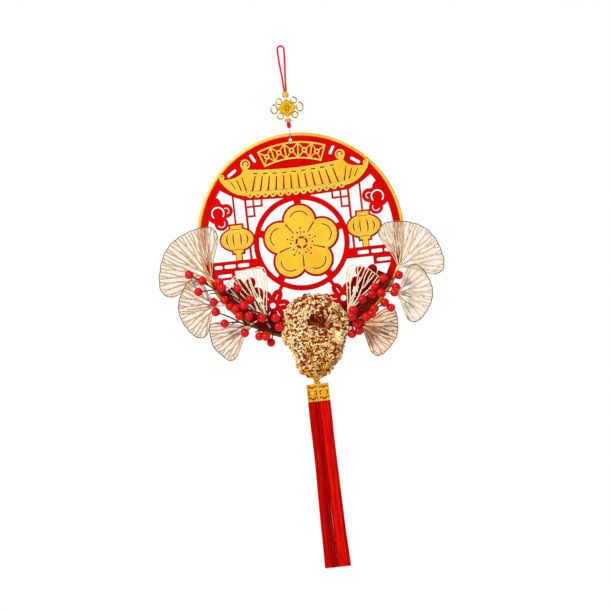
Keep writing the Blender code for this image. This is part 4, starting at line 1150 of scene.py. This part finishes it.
def make_flower():
    dice = random.Random(5)
    soup = Soup()
    # Dark body under the florets: its colour is painted shade in the gaps between them, maroon round the
    # hollow and at the top front
    levels, sides = 40, 60
    points, faces = [], []
    for i in range(levels + 1):
        points += [flower_at(i / levels, 2 * math.pi * k / sides, -2.2) for k in range(sides)]
    for i in range(levels):
        faces += band(i * sides, (i + 1) * sides, sides)
    faces.append(tuple(reversed(range(sides))))
    faces.append(tuple(range(levels * sides, (levels + 1) * sides)))
    marks = []
    for face in faces:
        here = points[face[0]]
        near = math.hypot((here.x - DIMPLE[0]) / 22, (here.z - DIMPLE[1]) / 15) < 1 or here.z > -86
        marks.append(4 if near and here.y < -8 else 5)
    soup.add(points, faces, marks)
    # Sites spread evenly over the body
    cells, sizes = [], []
    for i in range(levels):
        for k in range(sides):
            a = flower_at(i / levels, 2 * math.pi * k / sides)
            b = flower_at((i + 1) / levels, 2 * math.pi * k / sides)
            c = flower_at(i / levels, 2 * math.pi * (k + 1) / sides)
            cells.append((i, k))
            sizes.append((b - a).cross(c - a).length)
    sums = np.cumsum(sizes)
    sites = []
    for _ in range(FLORET_TRIES):
        i, k = cells[int(np.searchsorted(sums, dice.random() * sums[-1]))]
        level = (i + dice.random()) / levels
        turn = 2 * math.pi * (k + dice.random()) / sides
        here = flower_at(level, turn)
        if all((here - other[0]).length > FLORET_GAP for other in sites):
            out = flower_at(level, turn + 0.05) - flower_at(level, turn - 0.05)
            up = flower_at(min(level + 0.02, 1), turn) - flower_at(max(level - 0.02, 0), turn)
            sites.append((here, out.cross(up).normalized()))
        if len(sites) >= FLORETS:
            break
    for here, normal in sites:
        dx, dz = here.x - DIMPLE[0], here.z - DIMPLE[1]
        hollow = math.hypot(dx / 15.5, (dz + 0.3 * dx) / 8.8)
        deep = hollow < 1 and here.y < -12
        if deep and dice.random() < 0.72:
            continue
        notched = math.hypot(here.x - NOTCH[0], here.z - NOTCH[1]) < NOTCH[2] and here.y < -12
        if notched and dice.random() < 0.7:
            continue
        if here.z > -90 and here.y < -8 and dice.random() < 0.22:
            continue
        mark = floret_tone(here, dice)
        # In the hollow the florets mostly take maroon and amber, painted shade in the recess
        if deep:
            mark = 4 if dice.random() < 0.7 else 2
        back = here.y > -6
        lean = Vector([dice.gauss(0, 0.5) for _ in range(3)])
        axis = (normal + lean).normalized()
        centre = here + normal * (dice.uniform(-0.8, 1.7) if not back else dice.uniform(-1.5, -0.2))
        side = axis.orthogonal().normalized()
        up = axis.cross(side)
        start = dice.uniform(0, 2 * math.pi)
        small = 0.55 if back else 1.0
        if dice.random() < 0.68:
            # A curl
            radius, sweep = dice.uniform(1.3, 2.3) * small, dice.uniform(2.2, 4.4)
            route = []
            for i in range(6):
                a = start + sweep * i / 5
                lift = 0.9 * small * math.sin(math.pi * i / 5)
                route.append(centre + (side * math.cos(a) + up * math.sin(a)) * radius + axis * lift)
            thick = dice.uniform(0.75, 1.1) * small
            tube(soup, route, [thick * s for s in (0.6, 0.95, 1, 1, 0.9, 0.55)], 6, mark=mark)
        else:
            # A star of short tips
            arms = dice.choice((3, 4, 5))
            for arm in range(arms):
                a = start + 2 * math.pi * arm / arms + dice.uniform(-0.25, 0.25)
                out = side * math.cos(a) + up * math.sin(a)
                reach = dice.uniform(2.2, 3.4) * small
                route = [centre, centre + out * reach * 0.55 + axis * 0.6, centre + out * reach + axis * 1.1]
                tube(soup, route, [0.75 * small, 0.95 * small, 0.6 * small], 5, mark=mark)
    root = Vector(THREAD_ROOT)
    for first, last, count, reach, tones in THREADS:
        for i in range(count):
            turn = math.radians(first + (last - first) * (i + dice.uniform(0.2, 0.8)) / count)
            r = dice.uniform(*reach)
            x, z = root.x + r * math.cos(turn), root.z + r * math.sin(turn)
            tip = Vector((x, -40.5 - dice.uniform(0, 2), z))
            if tip.z > -98:
                tip.y = -36
            middle = root.lerp(tip, 0.5) + Vector((0, -1.5, 0))
            tube(soup, smoothed([root, middle, tip], 3), 0.5, 4, mark=tones[i % len(tones)])
    tones = ["floret_cream", "floret_gold", "floret_amber", "floret_yellow", "floret_maroon_shade", "floret_body_shade"]
    piece("flower_florets", soup, tones, ["gold_flower"], sharp=50)


def floret_tone(here, dice):
    """Cream at the top left, through gold, to amber at the lower right and yellow at the foot: partly the
    florets' own colours, partly painted light, with cream as painted highlight towards the top left, amber as
    painted shade towards the lower right, and some maroon, more near the top, as painted shade between
    florets.
    """
    low = min(max((-122 - here.z) / 34, 0), 1)
    right = min(max((here.x - 6) / 16, 0), 1)
    foot = min(max((-150 - here.z) / 12, 0), 1)
    cream = 0.64 * (1 - 0.3 * low) * (1 - 0.6 * low * right) * (1 - 0.7 * foot)
    amber = 0.10 + 0.06 * low + 0.36 * low * right
    yellow = 0.55 * foot * (1 - 0.6 * right)
    maroon = 0.05 + 0.07 * min(max((here.z + 96) / 14, 0), 1)
    roll = dice.random()
    for mark, share in ((0, cream), (2, amber), (3, yellow), (4, maroon)):
        if roll < share:
            return mark
        roll -= share
    return 1


# Tassels
CAP_TOP = -179.6
CAP_H = 21.0
CAP_W = 13.46
CAP_WALL = 1.1
TASSEL_END = -401.8
TASSEL_X = 6.75
# Places for threads along each side of a tassel, and its levels
STRAND_GRID = 17
STRAND_LEVELS = 14


def make_tassel_bead():
    top = FLOWER_ROWS[0][0] - GAP
    low = CAP_TOP + GAP
    rows = ((3.0, 0.0), (4.0, 0.04), (4.4, 0.12), (4.4, 0.24), (3.6, 0.34), (3.0, 0.40))
    rows += ((3.4, 0.46), (4.4, 0.55), (5.0, 0.68), (4.9, 0.78), (4.3, 0.9), (3.0, 1.0))
    soup = Soup()
    lathe(soup, [(r, low + (top - low) * t) for r, t in rows], (0, TASSEL_Y), wave=fluted)
    piece("bead_low_gold", soup, ["bead_gold"], ["bead_tassel"])


def make_caps():
    middle = CAP_TOP - CAP_H / 2
    half = CAP_W / 2
    face = add(rectangle(-half, CAP_TOP - CAP_H, half, CAP_TOP))
    for top, dip in ((middle + 7.4, 1.5), (middle - 5.6, 2.3)):
        for end in (-1, 1):
            face += cut(bar((0.3 * -end, top - dip - 0.2), (3.6 * end, top + 0.3), 1.9, 1.5))
            face += cut(slot((4.9 * end, top + 0.6), (4.9 * end, top - 1.6), 1.0))
    for end, turn in ((-1, 180), (1, 0)):
        face += cut(arc_slot((end * 1.9, middle), 2.9, 1.5, turn - 48, turn + 48))
    for name, side in (("cap_left", -1), ("cap_right", 1)):
        soup = Soup()
        x0 = side * TASSEL_X
        sheet(soup, face, CAP_WALL, -half + TASSEL_Y, origin=(x0, 0), round_by=0.25)
        sheet(soup, face, CAP_WALL, half - CAP_WALL + TASSEL_Y, origin=(x0, 0), round_by=0.25)
        inner = half - 0.3
        plate, lid = Soup(), Soup()
        plan = add(rectangle(-inner, CAP_TOP - CAP_H, inner, CAP_TOP))
        sheet(plate, plan, CAP_WALL, -CAP_WALL / 2, round_by=0.25)
        for end in (-1, 1):
            inset = end * (half - CAP_WALL / 2)
            soup.take(plate, lambda p: (x0 + inset + end * p.y, TASSEL_Y + end * p.x, p.z))
        sheet(lid, add(rectangle(-inner, -inner, inner, inner)), CAP_WALL, 0, round_by=0.25)
        soup.take(lid, lambda p: (x0 + p.x, TASSEL_Y + p.z, CAP_TOP - p.y))
        # Raised bands and a boss on the front and the back
        for z in (CAP_TOP - 0.9, CAP_TOP - CAP_H + 0.9):
            for y in (-half, half):
                tube(soup, [(x0 - half + 0.5, TASSEL_Y + y, z), (x0 + half - 0.5, TASSEL_Y + y, z)], 0.5, 8)
        for y in (-half, half):
            out = -0.35 if y < 0 else 0.35
            for end in (-1, 1):
                for up in (-1, 1):
                    petal = oval((x0 + end * 1.45, middle + up * 2.1), 1.15, 1.55, TASSEL_Y + y + out, 20)
                    ring(soup, petal, 0.42, 6)
            boss = Soup()
            ball(boss, (0, 0, 0), 1.2, 16, 10)
            soup.take(boss, lambda p: (x0 + p.x, TASSEL_Y + y + p.y * 0.6, middle + p.z * 1.2))
        piece(name + "_pierced", soup, ["cap_gold"], [name], sharp=30)


def make_tassels():
    for name, side in (("tassel_left", -1), ("tassel_right", 1)):
        dice = random.Random(17 + side)
        soup = Soup()
        x0 = side * TASSEL_X
        inner = CAP_W / 2 - CAP_WALL - GAP
        head = add(rectangle(-inner, CAP_TOP - CAP_H + 1, inner, CAP_TOP - CAP_WALL - GAP))
        sheet(soup, head, 2 * inner, -inner + TASSEL_Y, mark=1, origin=(x0, 0), round_by=0.6)
        # Levels: z, centre x, half width and half depth
        lean = 1.5 if side > 0 else 0.0
        levels = (
            (CAP_TOP - CAP_H + 1.5, 0.0, inner, inner),
            (CAP_TOP - CAP_H - 1.0, 0.0, 6.6, 6.3),
            (CAP_TOP - CAP_H - 12, -0.1 * side, 6.75, 6.4),
            (-250.0, -0.3 * side, 6.5, 6.0),
            (-310.0, 0.1 * side + 0.2 * lean, 6.6, 5.8),
            (-365.0, 0.4 * side + 0.6 * lean, 7.1, 5.6),
            (TASSEL_END, 0.4 * side + lean, 7.5, 5.4),
        )
        table = np.array(levels)
        heights = [levels[0][0], levels[1][0]] + list(np.linspace(levels[2][0], TASSEL_END, STRAND_LEVELS))
        for i in range(STRAND_GRID):
            for j in range(STRAND_GRID):
                u = ((i + dice.uniform(0.1, 0.9)) / STRAND_GRID) * 2 - 1
                v = ((j + dice.uniform(0.1, 0.9)) / STRAND_GRID) * 2 - 1
                rim = max(abs(u), abs(v)) > 0.62
                if not rim and dice.random() < 0.55:
                    continue
                end = TASSEL_END + dice.uniform(-0.5, 1.2)
                phase, swing = dice.uniform(0, 6.28), dice.uniform(0.1, 0.45)
                route = []
                for z in heights:
                    z = max(z, end)
                    cx, hx, hy = (np.interp(-z, -table[:, 0], table[:, c]) for c in (1, 2, 3))
                    drift = swing * math.sin(phase - z / 31) * min(1, (levels[0][0] - z) / 30)
                    route.append((x0 + cx + u * hx + drift, TASSEL_Y + v * hy + drift * 0.5, z))
                # A random mix of thread tones on the outside; the darkest ones are partly painted shade
                # between threads
                roll = dice.random()
                mark = 0 if roll < 0.42 else 1 if roll < 0.80 else 2
                # Threads inside the skein take the dark tone, painted shade
                if not rim:
                    mark = 2
                tube(soup, route, dice.uniform(0.30, 0.42), 4, mark=mark)
        # Dark core, so that no light shows through the skein; its dark thread tone is painted shade
        core = []
        for z in heights[:-1]:
            cx, hx, hy = (np.interp(-z, -table[:, 0], table[:, c]) for c in (1, 2, 3))
            core.append((z, x0 + cx, hx - 1.3, hy - 1.3))
        points = [Vector((x + sx * hx, TASSEL_Y + sy * hy, z)) for z, x, hx, hy in core
                  for sx, sy in ((-1, -1), (1, -1), (1, 1), (-1, 1))]
        faces = [tuple(reversed(face)) for i in range(len(core) - 1) for face in band(4 * i, 4 * i + 4, 4)]
        faces += [(0, 1, 2, 3), tuple(reversed(range(4 * len(core) - 4, 4 * len(core))))]
        soup.add(points, faces, 2)
        tones = ["thread_bright", "thread_mid", "thread_dark_shade"]
        piece(name + "_threads", soup, tones, [name], sharp=80)


# Stage. The world is white behind the object, in a band at eye level, and softer before it
WORLD_TONES = ((0.0, 0.45), (0.40, 0.47), (0.44, 1.0), (0.56, 1.0), (0.62, 0.34), (1.0, 0.30))
WORLD_FRONT = (0.38, 0.38, 0.38)


def area_light(name, place, aim, size, power):
    data = bpy.data.lights.new(name, "AREA")
    data.shape = "DISK"
    data.size = size
    data.energy = power
    lamp = bpy.data.objects.new(name, data)
    bpy.context.scene.collection.objects.link(lamp)
    lamp.location = place
    lamp.rotation_euler = (Vector(aim) - Vector(place)).to_track_quat("-Z", "Y").to_euler()


def make_stage():
    aim = (0, 0, -0.3)
    area_light("key", (-1.5, -2.1, 1.4), aim, 0.7, 76)
    area_light("fill", (1.8, -1.9, 0.1), aim, 1.4, 8)
    area_light("back", (1.2, 2.2, 1.3), aim, 1.0, 40)
    world = bpy.data.worlds.new("studio")
    bpy.context.scene.world = world
    world.use_nodes = True
    tree = world.node_tree
    background = tree.nodes["Background"]
    background.inputs["Strength"].default_value = 1.0
    split = node(tree, "SeparateXYZ", [("Vector", node(tree, "TexCoord").outputs["Generated"])])
    height = node(tree, "MapRange", [("Value", split.outputs["Z"])], [("From Min", -1), ("From Max", 1)])
    ramp = node(tree, "ValToRGB", [("Fac", height.outputs["Result"])])
    elements = ramp.color_ramp.elements
    for element, (position, value) in zip(elements, (WORLD_TONES[0], WORLD_TONES[-1])):
        element.position = position
        element.color = (value, value, value, 1)
    for position, value in WORLD_TONES[1:-1]:
        elements.new(position).color = (value, value, value, 1)
    turn = [("From Min", -0.2), ("From Max", 0.3)]
    behind = node(tree, "MapRange", [("Value", split.outputs["Y"])], turn, interpolation_type="SMOOTHSTEP")
    sky = mix_colours(tree, behind.outputs["Result"], WORLD_FRONT, ramp.outputs["Color"])
    tree.links.new(sky, background.inputs["Color"])
    floor_mesh = bpy.data.meshes.new("floor")
    corners = [(-1.6, -1.6, -0.9), (1.6, -1.6, -0.9), (1.6, 1.1, -0.9), (-1.6, 1.1, -0.9)]
    floor_mesh.from_pydata(corners, [], [(0, 1, 2, 3)])
    floor = bpy.data.objects.new("floor", floor_mesh)
    bpy.context.scene.collection.objects.link(floor)
    floor_mesh.materials.append(look["floor_pale"])
    bpy.context.scene.view_settings.view_transform = "Standard"


make_charm()
make_beads()
make_link()
make_disc()
make_leaves()
make_sprays()
make_flower()
make_tassel_bead()
make_caps()
make_tassels()
make_stage()
